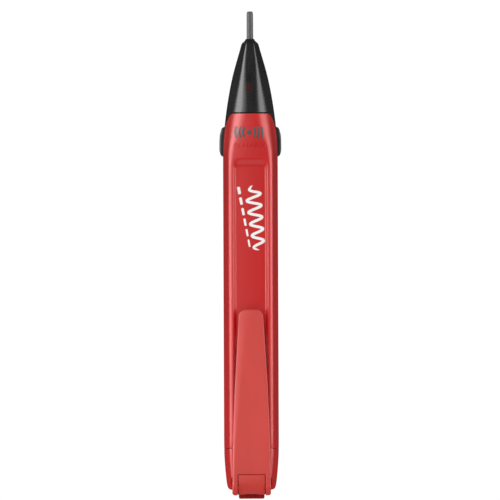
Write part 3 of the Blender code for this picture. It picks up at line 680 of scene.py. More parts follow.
# A darker copy of the casing's red: painted shade on the tail block under the cap.
SHADED_TAIL_RED = moulded("shaded_tail_plastic", (0.3, 0.007, 0.007), 0.75, gloss=0.1)
SMOKE = smoked("smoky_plastic", (0.013, 0.013, 0.013), 0.27)
BLACK = moulded("black_plastic", (0.009, 0.009, 0.009), 0.45, edge_highlight=1.8)
FIN_GREY = moulded("fin_plastic", (0.066, 0.066, 0.068), 0.5, edge_highlight=1.2)
TRAY_WHITE = moulded("tray_plastic", (0.72, 0.71, 0.68), 0.5, edge_highlight=1.05)
STEEL = metal("spring_steel", (0.58, 0.58, 0.57), 0.3)
BRASS = metal("contact_brass", (0.75, 0.56, 0.28), 0.32)
WHITE_INK = moulded("white_ink", (0.86, 0.86, 0.85), 0.5, grain=0.12, depth=0.004, mottling=0.02, edge_highlight=1.0)
GREY_INK = moulded("grey_ink", (0.062, 0.06, 0.062), 0.45, grain=0.15, depth=0.006, edge_highlight=1.0)


def cell_wrap(name, low, shoulder):
    """A printed sleeve: graphite with a copper band near the positive end, and bare steel ends."""
    material, graph = principled(name, (0.02, 0.022, 0.026), 0.3)
    tone = mottled(graph, 4.0, 2.0, (1.0, 1.0, 1.0), (0.017, 0.019, 0.023), (0.026, 0.028, 0.033))
    for start, end, colour in ((9.0, 0.4, (0.52, 0.21, 0.09)), (9.9, 9.4, (0.6, 0.6, 0.58))):
        tone = mixed(graph, height_mask(graph, shoulder - start, shoulder - end), tone, colour)
    wrapped = height_mask(graph, low + 0.4, shoulder - 0.35)
    graph.feed(graph.shader, {
        "Base Color": mixed(graph, wrapped, (0.62, 0.62, 0.6), tone),
        "Metallic": remapped(graph, wrapped, 1.0, 0.0, 0.0, 1.0),
    })
    finely_rough(graph, 0.4, 0.24, 0.36, 0.05, 0.01)
    return material


# ---------------- casing, nose and guards

STRAIGHT_TOP_Z = 112.0
SPLIT_Z = 115.4
COARSE_STEP = 4.0
FINE_STEP = 0.1


def fine_heights(low, high, step=0.25):
    """Heights for a skin table: both ends of the straight stretch, and close together elsewhere."""
    above = np.arange(max(low, STRAIGHT_TOP_Z), high, step)
    below = [z for z in (low, low + 0.5, *range(int(CAVITY_FOOT_Z) - 2, int(CAVITY_FOOT_Z) + 1))
             if low <= z < STRAIGHT_TOP_Z]
    return sorted({round(float(z), 4) for z in [*below, *above, high] if z >= low})


def sink(points, side, depth_at):
    """Presses a recess into the face of a skin."""
    floor = HALF_DEPTH - depth_at(points[..., 0], points[..., 2])
    if side < 0:
        floor = floor - crown_drop(points[..., 0], points[..., 2])
    points[..., 1] = side * np.minimum(side * points[..., 1], floor)


def even(start, end, steps):
    """Levels without an inset, evenly spaced from just after start up to end."""
    return [(height, 0.0) for height in np.linspace(start, end, steps + 1)[1:]]


def stacked(skin, levels):
    """Points of a skin at levels, each a height or a height for every column, with an inset."""
    z = np.array([np.broadcast_to(height, skin.count) for height, _ in levels])
    return skin.rows(z, [inset for _, inset in levels])


def casing_half(side, face_run, levels, depth_at):
    """One half of the red casing, up to the arch beside the nose."""
    skin = Skin(lambda z: casing_loop(z, side, face_run), fine_heights(CASING_FOOT_Z, SHELL_TOP_Z))
    half = skin.count // 2
    tops = skin.meets(arch_height)
    tops[half:] = tops[:half][::-1]
    stack = rim_up(CASING_FOOT_Z, SEAM_EDGE) + [(z, 0.0) for z in levels]
    stack += [(SPLIT_Z, 0.0), *even(SPLIT_Z, tops - ARCH_EDGE, 40)]
    stack += rim_down(tops, ARCH_EDGE)[1:]
    points = stacked(skin, stack)
    sink(points[:, :half], side, depth_at)
    return lattice(points, ends="wall")


CORNERS = ((-1, -1), (1, -1), (1, 1), (-1, 1))


def stadium(half_x, half_z, steps=16):
    """An upright or lying oval with round ends, as (x, z)."""
    radius = min(half_x, half_z)
    points = []
    for quarter, (side_x, side_z) in enumerate(((1, 1), (-1, 1), (-1, -1), (1, -1))):
        for i in range(steps + 1):
            angle = math.pi / 2 * (quarter + i / steps)
            points.append((side_x * (half_x - radius) + radius * math.cos(angle),
                           side_z * (half_z - radius) + radius * math.sin(angle)))
    return points


def oval_stack(half_x, half_z, centre_z, levels):
    """A body of ovals at levels, each a Y and how much the oval grows there."""
    return lattice([[(x, y, centre_z + z) for x, z in stadium(half_x + grow, half_z + grow)]
                    for y, grow in levels], ends="fill")


HOLE_START_Y = 5.0


def flared_hole(half_x, half_z, centre_z, surface_y, lip):
    """A plug for a hole in the back, whose mouth is rounded over."""
    mouth = [(surface_y - lip + lip * math.sin(a), lip - lip * math.cos(a)) for a in quarter_turn(5)]
    return oval_stack(half_x, half_z, centre_z, [(HOLE_START_Y, 0.0), *mouth, (surface_y + 2.0, lip)])


BUTTON_Z = (foot("power_button") + top("power_button")) / 2
BUTTON_HALF = (3.6, 5.0)
BUTTON_FLANGE = 0.7
BUTTON_FLANGE_Y = (6.9, 7.4)
BUTTON_ROLL = 0.45
BUTTON_DISH = (0.28, 2.7)
BUTTON_HOLE_LIP = 0.25
SOUND_SLOTS_Z = (125.0, 126.6, 128.2)
SOUND_SLOT_HALF = (2.2, 0.35)
SOUND_SLOT_LIP = 0.12


def make_front_shell():
    """The front half of the casing, with the channel."""
    levels = [*np.arange(CAVITY_FOOT_Z, STRAIGHT_TOP_Z, COARSE_STEP),
              *np.arange(STRAIGHT_TOP_Z, SPLIT_Z, FINE_STEP)]
    front = casing_half(-1, CHANNEL_RUN, levels, channel_depth)
    put("front_shell", front, RED, "housing", "red_casing", "front_housing")


def make_rear_shell():
    """The rear half of the casing, with a label's recess and holes for the button and the sound."""
    low, high = LABEL_Z
    near_ends = [z for end in LABEL_Z for z in np.arange(end - 0.6, end + 0.6, FINE_STEP)]
    inside = [z for end, step in ((low, 1), (high, -1)) for z in (end + step * np.arange(0.75, 2.2, 0.25))]
    plain = [z for z in np.arange(CAVITY_FOOT_Z, SPLIT_Z, COARSE_STEP)
             if min(abs(z - low), abs(z - high)) > 2.5]
    rear = casing_half(1, LABEL_RUN, sorted([*near_ends, *inside, *plain]), label_depth)
    button_hole = [half + GAP for half in BUTTON_HALF]
    holes = [flared_hole(*button_hole, BUTTON_Z, HALF_DEPTH, BUTTON_HOLE_LIP)]
    holes += [flared_hole(*SOUND_SLOT_HALF, z, skin_sizes(z)[2], SOUND_SLOT_LIP) for z in SOUND_SLOTS_Z]
    rear = carved(rear, *[("DIFFERENCE", hole) for hole in holes])
    put("rear_shell", rear, RED, "housing", "red_casing", "rear_housing")


def make_button():
    """A rubber button with a rolled edge, a dished top and a flange inside the casing."""
    top_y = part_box("power_button")[1].y / MM - AXIS_Y
    rise = BUTTON_ROLL
    deep, reach = BUTTON_DISH
    start, end = BUTTON_FLANGE_Y
    roll = [(top_y - rise + rise * math.sin(a), rise * math.cos(a) - rise) for a in quarter_turn(6)]
    dish = [(top_y - deep * math.sin(math.pi / 2 * share), -rise - reach * share)
            for share in np.linspace(0.1, 1, 9)]
    levels = [(start, BUTTON_FLANGE), (end, BUTTON_FLANGE), (end, 0.0), *roll, *dish]
    put("rubber_button", oval_stack(*BUTTON_HALF, BUTTON_Z, levels), BLACK, "power_button", "black_trim",
        "power_button")


# A thin lip of the nose round the fin's root: height above the nose's top, half width, half depth.
NOSE_LIP = ((0.2, 1.85, 3.5), (0.45, 1.65, 3.3), (0.7, 1.53, 3.18), (0.85, 1.48, 3.1))
FIN_HALF = (1.15, 2.75)
FIN_ROUND = 0.95
FIN_SLOT = (0.55, 1.7)
FIN_SLOT_TOP_Z = 163.0
FIN_COLLAR_Z = (147.8, 148.8)
FIN_COLLAR = 0.4
FIN_TAPER_Z = 150.0
FIN_TAPER = 0.07
FIN_TIP = (0.45, 1.0)
# An inner lip of the nose, behind the seam: how deep inside the hollow it starts and ends, and its reach.
SEAM_LIP = (0.06, 0.4)
SEAM_LIP_REACH = 1.0
# Below the first height the nose's rows fan out to the arch. Above the second they are closer together.
NOSE_LEVEL_Z = 134.0
NOSE_CLOSE_Z = 152.0
NOSE_RIM = 0.18


def make_nose():
    """The smoky nose: up the outside, down the fin's slot, and down the hollow to the arch again."""
    skin = Skin(lambda z: outer_loop(z, NOSE_INSET), fine_heights(CHEEK_FOOT_Z - 0.5, NOSE_TOP_Z, 0.2))
    hollow = Skin(hollow_loop, fine_heights(CHEEK_FOOT_Z - 0.5, CAVITY_TOP_Z))
    foot_z = skin.meets(lambda y: arch_height(y, GAP))
    stack = rim_up(foot_z, NOSE_RIM)
    stack += even(stack[-1][0], NOSE_LEVEL_Z, 40)
    stack += even(NOSE_LEVEL_Z, NOSE_CLOSE_Z, 50) + even(NOSE_CLOSE_Z, NOSE_TOP_Z, 28)
    outside = stacked(skin, stack)

    middle = []
    for rise, half, deep in NOSE_LIP:
        ring = octagon(half, half - 0.45, deep, deep, deep - 0.7, 0.35)
        middle.append([(x, y, NOSE_TOP_Z + rise) for x, y in ring])
    slot_x, slot_y = [half + GAP for half in FIN_HALF]
    slot = octagon(slot_x, slot_x - 0.4, slot_y, slot_y, slot_y - 0.4, 0.3)
    for z in np.linspace(NOSE_TOP_Z + NOSE_LIP[-1][0], CAVITY_TOP_Z, 14):
        middle.append([(x, y, z) for x, y in slot])
    stack = [(CAVITY_TOP_Z, 0.0), *even(CAVITY_TOP_Z, NOSE_LEVEL_Z, 19)]
    stack += even(NOSE_LEVEL_Z, foot_z + 1.0, 30)
    outer, inner = SEAM_LIP
    stack += [(foot_z + 0.6, inner), (foot_z - SEAM_LIP_REACH, inner), (foot_z - SEAM_LIP_REACH, outer),
              (foot_z + 0.1, outer)]
    inside = stacked(hollow, stack)
    nose = lattice([*outside, *middle, *inside], closed=True)
    put("smoky_nose", nose, SMOKE, "housing", "smoky_nose", "nose_cone")


GUARD_PROFILE = ((115.7, 9.45), (116.0, 9.8), (116.8, 10.18), (118.3, 10.48), (121.0, 10.46), (123.0, 10.33),
                 (124.6, 9.95), (125.6, 9.55), (126.1, 9.0))
GUARD_SEAT = 0.25
GUARD_RISE = 0.05
GUARD_HALF = 3.5
GUARD_CORNER = 1.6
GUARD_RIM = 0.7
GUARD_RIM_SHARE = 0.14
GUARD_LEAST_SHARE = 0.03


def make_guards():
    """Soft black finger guards: a crowned face with a rolled rim, on the flanks beside the nose."""
    outward = through(GUARD_PROFILE)
    low = GUARD_PROFILE[0][0]
    high = GUARD_PROFILE[-1][0]
    middle = (low + high) / 2
    tall = (high - low) / 2
    border = trace([(side_y * GUARD_HALF, side_z * tall, GUARD_CORNER, 8, spread((0, 1, steps)))
                    for (side_y, side_z), steps in zip(CORNERS, (10, 20, 10, 20))])
    shares = [GUARD_LEAST_SHARE, *np.linspace(0.1, 0.8, 10), 0.85, 0.88, 0.91, 0.94, 0.965, 0.985, 0.995, 1.0]
    face = []
    seat = []
    for share in shares:
        past = max((share - (1 - GUARD_RIM_SHARE)) / GUARD_RIM_SHARE, 0)
        rim = GUARD_RIM * (1 - math.sqrt(max(1 - past ** 2, 0)))
        heights = middle + border[:, 1] * share
        x = np.maximum(outward(heights) - rim, SKIN_CURVES[0](heights) - GUARD_SEAT + GUARD_RISE)
        face.append(np.stack([x, border[:, 0] * share, heights], 1))
    for share in (1.0, 0.6, GUARD_LEAST_SHARE):
        heights = middle + border[:, 1] * share
        seat.append(np.stack([SKIN_CURVES[0](heights) - GUARD_SEAT, border[:, 0] * share, heights], 1))
    for side, way in (("left", -1), ("right", 1)):
        rows = [row * (way, 1, 1) for row in [*face, *seat]]
        guard = lattice(rows, ends="fill")
        put(side + "_guard", guard, BLACK, "housing", "black_trim", "finger_guard_" + side)


def make_fin():
    """The sensing fin with rounded edges, hollow for the antenna."""
    low, high = [corner.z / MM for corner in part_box("probe_blade")]
    wide, deep = FIN_HALF

    def ring(half_x, half_y, z, radius=FIN_ROUND):
        corners = [(side_x * half_x, side_y * half_y, radius, 8, ()) for side_x, side_y in CORNERS]
        return [(x, y, z) for x, y in trace(corners)]

    rows = [ring(*FIN_SLOT, z, 0.1) for z in (FIN_SLOT_TOP_Z, low)]
    start, end = FIN_COLLAR_Z
    for z, grow in ((low, 0), (start, 0), (start, FIN_COLLAR), (end, FIN_COLLAR), (end, 0), (end + 0.4, 0)):
        rows.append(ring(wide + grow, deep + 0.35 * grow, z))
    inset, rise = FIN_TIP
    for z in np.linspace(FIN_TAPER_Z, high - rise, 8):
        draw = FIN_TAPER * (z - FIN_TAPER_Z) / (high - FIN_TAPER_Z)
        rows.append(ring(wide - draw, deep - draw, z))
    for a in quarter_turn(6):
        draw = FIN_TAPER + inset * (1 - math.cos(a))
        rows.append(ring(wide - draw, deep - draw, high - rise + rise * math.sin(a)))
    put("sensing_fin", lattice(rows, ends="fill"), FIN_GREY, "housing", "fin_grey", "probe_blade")


# ---------------- end cap, drawer and clip

KNUCKLE_HALF = 4.5
KNUCKLE_TOP_RADIUS = 4.76
KNUCKLE_BACK_Y = -8.0
KNUCKLE_FRONT = ((-13.4, 6.6), (-13.35, 5.6), (-13.2, 4.6), (-12.95, 3.7), (-12.5, 2.9), (-11.9, 2.2),
                 (-10.9, 1.65), (-9.6, 1.45), (-9.0, 1.4))
KNUCKLE_EDGE = 0.15
POCKET_HALF = 6.9
PIN_RADIUS = 0.9
PIN_HALF_LENGTH = 6.3
TAIL_HALF = (4.35, 5.5)
TAIL_STEP = (5.3, 5.9, 1.5)
SPRING_POCKET = (2.25, 2.2)
SPRING_MOUTH_FRONT = 0.2
BORE_RADIUS = 6.65
BORE_FLOOR_Z = 12.2
SPIGOT_TOP_Z = 20.5
CELL_Y = 0.3
CELL_RADIUS = 5.25
CELL_EDGE = 0.45
CELL_TIP_RISE = 1.0
# Radius and height of the dimple in a cell's foot, and of the groove in its shoulder.
CELL_DIMPLE = ((0.05, 0.25), (3.9, 0.25), (4.1, 0.0))
CELL_GROOVE = ((4.4, 0.0), (4.2, -0.25), (2.2, -0.25), (1.9, 0.0))
CELL_TIP_EDGE = 0.25
TROUGH_RADII = (5.55, 6.35)
TROUGH_START = math.radians(-15.0)
TROUGH_EDGE = 0.15
CAP_FOOT_Z = 3.0
CAP_EDGE = 0.25
PIN_EDGE = 0.15
# The slot for the contact strip: half width, front, back, and how far above the bore's floor it starts.
STRIP_SLOT = (1.8, 2.0, 7.55, 0.05)
CUT_TOP_Z = 30.0
CUT_FOOT_Z = -1.0
CUT_FRONT_Y = -20.0
POCKET_TOP_Z = 4.0
ARM_CLEARANCE = 0.35
WEB_BACK_Y = -5.0
WEB_Z = (1.3, 7.2)
TAIL_TOP_Z = 4.0
TAIL_EDGE = 0.55
CLIP_HOLE_HALF = 10.0


def upright(radius, low, high):
    """A round bar along Z, about the cells' axis."""
    return rod(radius, high - low, Matrix.Translation((0, CELL_Y, (low + high) / 2)), 96)


def knuckle_block():
    """The block that fills the clip's window: round about the hinge above, curved under below."""
    front = math.asin((HINGE_Y - KNUCKLE_FRONT[0][0]) / KNUCKLE_TOP_RADIUS)
    back = -math.asin((KNUCKLE_BACK_Y - HINGE_Y) / KNUCKLE_TOP_RADIUS)
    outline = [(HINGE_Y - KNUCKLE_TOP_RADIUS * math.sin(a), HINGE_Z + KNUCKLE_TOP_RADIUS * math.cos(a))
               for a in np.linspace(back, front, 40)]
    route = [through(enumerate(values)) for values in zip(*KNUCKLE_FRONT)]
    stops = np.linspace(0, len(KNUCKLE_FRONT) - 1, 50)
    outline += [tuple(float(curve(stop)) for curve in route) for stop in stops]
    outline.append((KNUCKLE_BACK_Y, KNUCKLE_FRONT[-1][1]))
    y, z = np.array(outline).T
    ny, nz = inward(y, z)
    levels = rim_up(-KNUCKLE_HALF, KNUCKLE_EDGE) + rim_down(KNUCKLE_HALF, KNUCKLE_EDGE)
    return lattice([np.stack([np.full(len(y), x), y + ny * inset, z + nz * inset], 1) for x, inset in levels],
                   ends="fill")


def round_rows(profile, steps):
    """Rings about the cells' axis, one for each (radius, height)."""
    return [[(radius * math.cos(a), CELL_Y + radius * math.sin(a), z) for a in full_turn(steps)]
            for radius, z in profile]


def pin_hole():
    """The cut for the hinge pin, through everything on its way."""
    return ("DIFFERENCE", bar(PIN_RADIUS + GAP, CLIP_HOLE_HALF))


def hinge_cuts():
    """What is cut out about the hinge: the spring's pocket with its mouth, and the hole for the pin."""
    radius, half = SPRING_POCKET
    mouth = box((-half + 0.05, HINGE_Y - SPRING_MOUTH_FRONT, CUT_FOOT_Z),
                (half - 0.05, HINGE_Y + radius - 0.1, POCKET_TOP_Z))
    return [("DIFFERENCE", bar(radius, half)), ("DIFFERENCE", mouth), pin_hole()]


def make_cap():
    """The red end cap that carries the drawer, with the web that the hinge knuckle stands on."""
    loop = Skin(lambda z: outer_loop(z, 0.0, CHANNEL_RUN), np.linspace(CAP_FOOT_Z, CAP_TOP_Z, 70))
    stack = rim_up(CAP_FOOT_Z, CAP_EDGE)
    stack += even(stack[-1][0], CAP_TOP_Z - SEAM_EDGE, 49) + rim_down(CAP_TOP_Z, SEAM_EDGE)[1:]
    points = stacked(loop, stack)
    sink(points, -1, channel_depth)
    shell = lattice(points, ends="fill")

    spigot_levels = ((CAP_TOP_Z - 1.0, 0.0), (SPIGOT_TOP_Z - 0.4, 0.0), (SPIGOT_TOP_Z, 0.3))
    spigot = lattice([[(x, y, z) for x, y in hollow_loop(z, GAP + grow)] for z, grow in spigot_levels],
                     ends="fill")
    web_x = KNUCKLE_HALF - KNUCKLE_EDGE
    pocket_x = POCKET_HALF - 0.05
    pocket_y = HINGE_Y + ARM_RADIUS + ARM_CLEARANCE - 0.05
    strip_x, strip_front, strip_back, strip_rise = STRIP_SLOT
    cap = carved(
        shell,
        ("UNION", spigot),
        ("DIFFERENCE", upright(BORE_RADIUS, BORE_FLOOR_Z, CUT_TOP_Z)),
        ("DIFFERENCE", box((-strip_x, strip_front, BORE_FLOOR_Z + strip_rise),
                           (strip_x, strip_back, CUT_TOP_Z))),
        ("DIFFERENCE", bar(ARM_RADIUS + ARM_CLEARANCE, POCKET_HALF)),
        ("DIFFERENCE", box((-pocket_x, CUT_FRONT_Y, CUT_FOOT_Z), (pocket_x, pocket_y, POCKET_TOP_Z))),
        ("UNION", box((-web_x, HINGE_Y + 0.2, WEB_Z[0]), (web_x, WEB_BACK_Y, WEB_Z[1]))),
        *hinge_cuts(),
    )
    put("drawer_cap", cap, RED, "battery_drawer", "red_casing", "end_cap")


def make_tail():
    """The stepped block under the end cap, in a darker copy of the red that paints the shade it sits in."""
    tail_x, tail_y = TAIL_HALF
    step_x, step_y, step_z = TAIL_STEP
    tail = carved(
        box((-tail_x, -tail_y, 0.0), (tail_x, tail_y, TAIL_TOP_Z), TAIL_EDGE, 5),
        ("UNION", box((-step_x, -step_y, step_z), (step_x, step_y, TAIL_TOP_Z - 0.2))),
    )
    put("drawer_tail", tail, SHADED_TAIL_RED, "battery_drawer", "red_casing")


def make_pin():
    """The hinge pin, with round edges at its ends."""
    rows = []
    for x, inset in rim_up(-PIN_HALF_LENGTH, PIN_EDGE) + rim_down(PIN_HALF_LENGTH, PIN_EDGE):
        radius = PIN_RADIUS - inset
        rows.append([(x, HINGE_Y + radius * math.cos(a), HINGE_Z + radius * math.sin(a))
                     for a in full_turn(48)])
    put("hinge_pin", lattice(rows, ends="fill"), STEEL, "battery_drawer", "spring_steel", "clip_pin")


CLIP_FRONT = through(((4.4, -13.6), (8.0, -13.6), (16.0, -13.3), (28.0, -12.8), (42.0, -12.1),
                      (55.0, -11.4), (63.4, -10.95), (64.2, -10.75)))
CLIP_BACK = through(((7.6, -10.4), (8.6, -11.5), (16.0, -11.4), (28.0, -10.95), (42.0, -10.3),
                     (54.0, -9.8), (57.0, -9.35), (59.8, -8.8), (61.4, -8.8), (63.6, -9.5), (64.2, -9.9)))
CLIP_WIDTH = through(((1.2, 6.55), (16.5, 6.35), (36.8, 5.6), (61.5, 4.17), (64.2, 4.05)))
CLIP_BAND = through(((1.2, 0.5), (9.0, 0.7), (20.0, 1.1), (26.6, 1.6), (64.2, 3.6)))
CLIP_BAND_DROP = 0.33
CLIP_TIP_RADIUS = 2.5
CLIP_FOOT_RADIUS = 0.9
CLIP_TIP_EDGE = 0.3
CLIP_EVEN_Z = (9.6, 55.0)
WINDOW_HALF = 4.75
WINDOW_RADIUS = 5.04
WINDOW_LIP = 0.15
WINDOW_FOOT_Z = -2.0


def clip_section(z, draw=0.0):
    """The clip's section at a height, drawn in by a rounded end."""
    front = float(CLIP_FRONT(z))
    back = float(CLIP_BACK(z))
    if z < HINGE_Z:
        front = HINGE_Y - math.sqrt(max(ARM_RADIUS ** 2 - (HINGE_Z - z) ** 2, 0))
    if z < HINGE_Z + ARM_RADIUS:
        back = HINGE_Y + math.sqrt(max(ARM_RADIUS ** 2 - (z - HINGE_Z) ** 2, 0))
    half = float(CLIP_WIDTH(z))
    clip_top = top("pocket_clip")
    clip_foot = foot("pocket_clip")
    into_tip = max(z - (clip_top - CLIP_TIP_RADIUS), 0)
    into_foot = max(clip_foot + CLIP_FOOT_RADIUS - z, 0)
    half -= CLIP_TIP_RADIUS - math.sqrt(max(CLIP_TIP_RADIUS ** 2 - into_tip ** 2, 0))
    half -= CLIP_FOOT_RADIUS - math.sqrt(max(CLIP_FOOT_RADIUS ** 2 - into_foot ** 2, 0))
    half -= draw
    front += draw
    back -= draw
    band = min(float(CLIP_BAND(z)), half)
    drop = min(CLIP_BAND_DROP, 0.5 * (back - front))
    outline = trace((
        (-half, front, 0.22, 4, spread((0, 0.5, 24), (0.5, 1, 8))), (half, front, 0.32, 6, spread((0, 1, 6))),
        (half, back, 0.3, 4, spread((0, 1, 20))), (-half, back, 0.3, 4, spread((0, 1, 6))),
    ))
    x, y = outline.T
    fall = np.clip((band - half - x) / band, 0, 1) ** 2 * np.clip((back - y) / (back - front), 0, 1)
    return np.stack([x, y + drop * fall, np.full(len(x), z)], 1)


def make_clip():
    """The clip's blade, with the window that the knuckle fills and the hole for the pin."""
    clip_top = top("pocket_clip")
    heel = [HINGE_Z - ARM_RADIUS * math.cos(math.radians(a)) for a in range(6, 176, 4)]
    even_foot, even_top = CLIP_EVEN_Z
    blade = [*np.arange(heel[-1] + 0.1, even_foot - 0.4, 0.12), *np.arange(even_foot, even_top, 0.8),
             *np.arange(even_top, clip_top - 0.4, 0.15)]
    rows = [clip_section(z) for z in [*heel, *blade]]
    rows += [clip_section(clip_top - CLIP_TIP_EDGE * (1 - math.sin(a)), CLIP_TIP_EDGE * (1 - math.cos(a)))
             for a in quarter_turn(5)]
    lip = WINDOW_LIP
    face = float(CLIP_FRONT(HINGE_Z))
    mouth = [(face + lip - lip * math.sin(a), lip - lip * math.cos(a)) for a in quarter_turn(5)[::-1]]
    inside = [(y, 0.0) for y in np.arange(face + 0.4, HINGE_Y, 0.2)]
    window = []
    for y, grow in [(CUT_FRONT_Y, lip), *mouth, *inside, (0.0, 0.0)]:
        reach = min(max(y, face) - HINGE_Y, 0.0)
        half = WINDOW_HALF + grow
        high = HINGE_Z + math.sqrt(WINDOW_RADIUS ** 2 - reach ** 2) + grow
        outline = trace([(-half, WINDOW_FOOT_Z, 0.1, 2, ()), (half, WINDOW_FOOT_Z, 0.1, 2, ()),
                         (half, high, 0.25, 5, ()), (-half, high, 0.25, 5, ())])
        window.append([(x, y, z) for x, z in outline])
    clip = carved(lattice(rows, ends="fill"), ("DIFFERENCE", lattice(window, ends="fill")), pin_hole())
    put("clip_blade", clip, CLIP_RED, "pocket_clip", "red_clip", "pocket_clip")


def make_cells():
    """Two round cells with rolled ends."""
    tip_radius = CELL_GROOVE[-1][0]
    for name, node in (("lower_cell", "battery_lower"), ("upper_cell", "battery_upper")):
        low = foot(node)
        high = top(node)
        shoulder = high - CELL_TIP_RISE
        profile = [(radius, low + rise) for radius, rise in CELL_DIMPLE]
        profile += [(CELL_RADIUS - inset, z)
                    for z, inset in rim_up(low, CELL_EDGE) + rim_down(shoulder, CELL_EDGE)]
        profile += [(radius, shoulder + rise) for radius, rise in CELL_GROOVE]
        profile += [(tip_radius - inset, z) for z, inset in rim_down(high, CELL_TIP_EDGE)]
        profile.append((CELL_DIMPLE[0][0], high))
        cell = lattice(round_rows(profile, 96), ends="fill")
        put(name, cell, cell_wrap(name + "_wrap", low, shoulder), "battery_drawer", "cell_wrap", node)


def make_trough():
    """The fine trough that the cells lie in, open towards the front."""
    inner, outer = TROUGH_RADII
    last = math.pi - TROUGH_START
    angles = np.linspace(TROUGH_START, last, 90)
    lip = (outer - inner) / 2
    middle = (outer + inner) / 2
    ends = []
    for end, way in ((last, 1), (TROUGH_START, -1)):
        for i in range(1, 8):
            turn = math.pi * i / 8
            ends.append((middle + way * lip * math.cos(turn), end + way * lip * math.sin(turn) / middle))
    outline = [(outer, a) for a in angles] + ends[:7] + [(inner, a) for a in angles[::-1]] + ends[7:]
    rows = []
    low = foot("battery_tray")
    high = top("battery_tray")
    edge = TROUGH_EDGE
    for z, draw in ((low, edge), (low + edge, 0.0), (high - edge, 0.0), (high, edge)):
        drawn = [(radius + (draw if radius < middle else -draw), a) for radius, a in outline]
        rows.append([(radius * math.cos(a), CELL_Y + radius * math.sin(a), z) for radius, a in drawn])
    put("cell_trough", lattice(rows, ends="fill"), TRAY_WHITE, "battery_drawer", "tray_white", "battery_tray")


# ---------------- generic marks on the front


FRONT_FACE = Skin(lambda z: casing_loop(z, -1, NOSE_RUN), fine_heights(CASING_FOOT_Z, SHELL_TOP_Z, 0.5))


def front_y(x, z):
    """Where the front of the casing is at (x, z), inside the channel too."""
    heights = FRONT_FACE.heights
    i = int(np.clip(np.searchsorted(heights, z) - 1, 0, len(heights) - 2))
    share = (z - heights[i]) / (heights[i + 1] - heights[i])
    half = FRONT_FACE.count // 2
    xs, ys = [table[i, :half] * (1 - share) + table[i + 1, :half] * share
              for table in (FRONT_FACE.x, FRONT_FACE.y)]
    floor = HALF_DEPTH - float(crown_drop(x, z) + channel_depth(x, z))
    return max(float(np.interp(x, xs, ys)), -floor)


def stroke(path, half_widths, lift, across=6):
    """A thin raised line along a path of (x, z), as a closed body that follows the casing's front."""
    path = np.asarray(path, float)
    along = np.gradient(path, axis=0)
    along /= np.linalg.norm(along, axis=1)[:, None] + 1e-12
    aside = np.stack([-along[:, 1], along[:, 0]], 1)
    rows = []
    for (x, z), (ax, az), half in zip(path, aside, half_widths):
        shares = np.linspace(-1, 1, across)
        upper = [(x + ax * half * s, z + az * half * s) for s in shares]
        crown = lift * np.sqrt(np.maximum(1 - shares ** 6, 0))
        ring = [(u, front_y(u, v) - rise, v) for (u, v), rise in zip(upper, crown)]
        ring += [(u, front_y(u, v) + STROKE_SEAT, v) for u, v in upper[::-1]]
        rows.append(ring)
    return lattice(rows, ends="fill")


def round_ended(count, half):
    """Half widths along a stroke that is round at both ends."""
    share = np.linspace(-1, 1, count)
    return half * np.maximum(np.sqrt(np.maximum(1 - np.abs(share) ** 14, 0)), 0.12)


def together(meshes):
    """Several separate bodies as one mesh."""
    work = bmesh.new()
    for mesh in meshes:
        work.from_mesh(mesh)
        bpy.data.meshes.remove(mesh)
    return finished(work)


WAVE_FOOT = (2.9, 84.2)
WAVE_HEAD = (0.6, 106.0)
WAVE_CYCLES = 5.5
WAVE_REACH = (2.55, 1.75)
DASH_FOOT = (-0.2, 84.6)
DASH_HEAD = (-4.2, 106.0)
DASHES = 6
DASH_SHARES = (0.12, 0.82)
DASH_HALF = (0.5, 0.04)
STROKE_SEAT = 0.06
SENSE_CENTRE = (-0.45, 124.0)
SENSE_HALF_HEIGHT = 2.0
TICKS = 9
TICK_SPAN = (-5.2, 5.1)
TICK_Z = 119.8
TICK_REACH = (0.3, 0.85)
TICK_HALF = 0.34
TICK_LIFT = 0.24
WAVE_HALF = 0.46
INK_LIFT = 0.03
SENSE_LIFT = 0.05
SENSE_DOT = 0.85
SENSE_RADII = (2.1, 3.35, 4.6)
SENSE_HALF = 0.4


def make_wave():
    """A printed wave with a row of dashes beside it."""
    head = np.array(WAVE_HEAD)
    way = np.array(WAVE_FOOT) - head
    aside = np.array((way[1], -way[0])) / np.linalg.norm(way)
    shares = np.linspace(0, 1, 260)
    swing = np.sin(2 * math.pi * WAVE_CYCLES * shares)
    reach = (WAVE_REACH[0] + (WAVE_REACH[1] - WAVE_REACH[0]) * shares) * np.clip(shares * 9, 0.35, 1)
    path = head + way * shares[:, None] + aside * (swing * reach)[:, None]
    prints = [stroke(path, round_ended(len(path), WAVE_HALF), INK_LIFT)]
    start = np.array(DASH_HEAD)
    run = np.array(DASH_FOOT) - start
    for i in range(DASHES):
        ends = [(i + share) / DASHES for share in DASH_SHARES]
        line = start + run * np.linspace(*ends, 24)[:, None]
        prints.append(stroke(line, round_ended(24, DASH_HALF[0] - DASH_HALF[1] * i), INK_LIFT))
    put("printed_wave", together(prints), WHITE_INK, "housing", "tray_white")


def make_arcs():
    """A printed dot with sensing arcs on both sides of it."""
    cx, cz = SENSE_CENTRE
    angles = np.linspace(0, math.pi, 20)
    dot = [(cx - SENSE_DOT * math.cos(a), cz) for a in angles]
    arcs = [stroke(dot, [max(SENSE_DOT * math.sin(a), 0.05) for a in angles], SENSE_LIFT)]
    for radius in SENSE_RADII:
        open_to = math.asin(min(SENSE_HALF_HEIGHT / radius, 0.75))
        for facing in (0.0, math.pi):
            turns = facing + np.linspace(-open_to, open_to, 24)
            line = [(cx + radius * math.cos(a), cz + radius * math.sin(a)) for a in turns]
            arcs.append(stroke(line, round_ended(24, SENSE_HALF), SENSE_LIFT))
    put("sensing_arcs", together(arcs), GREY_INK, "housing", "fin_grey")


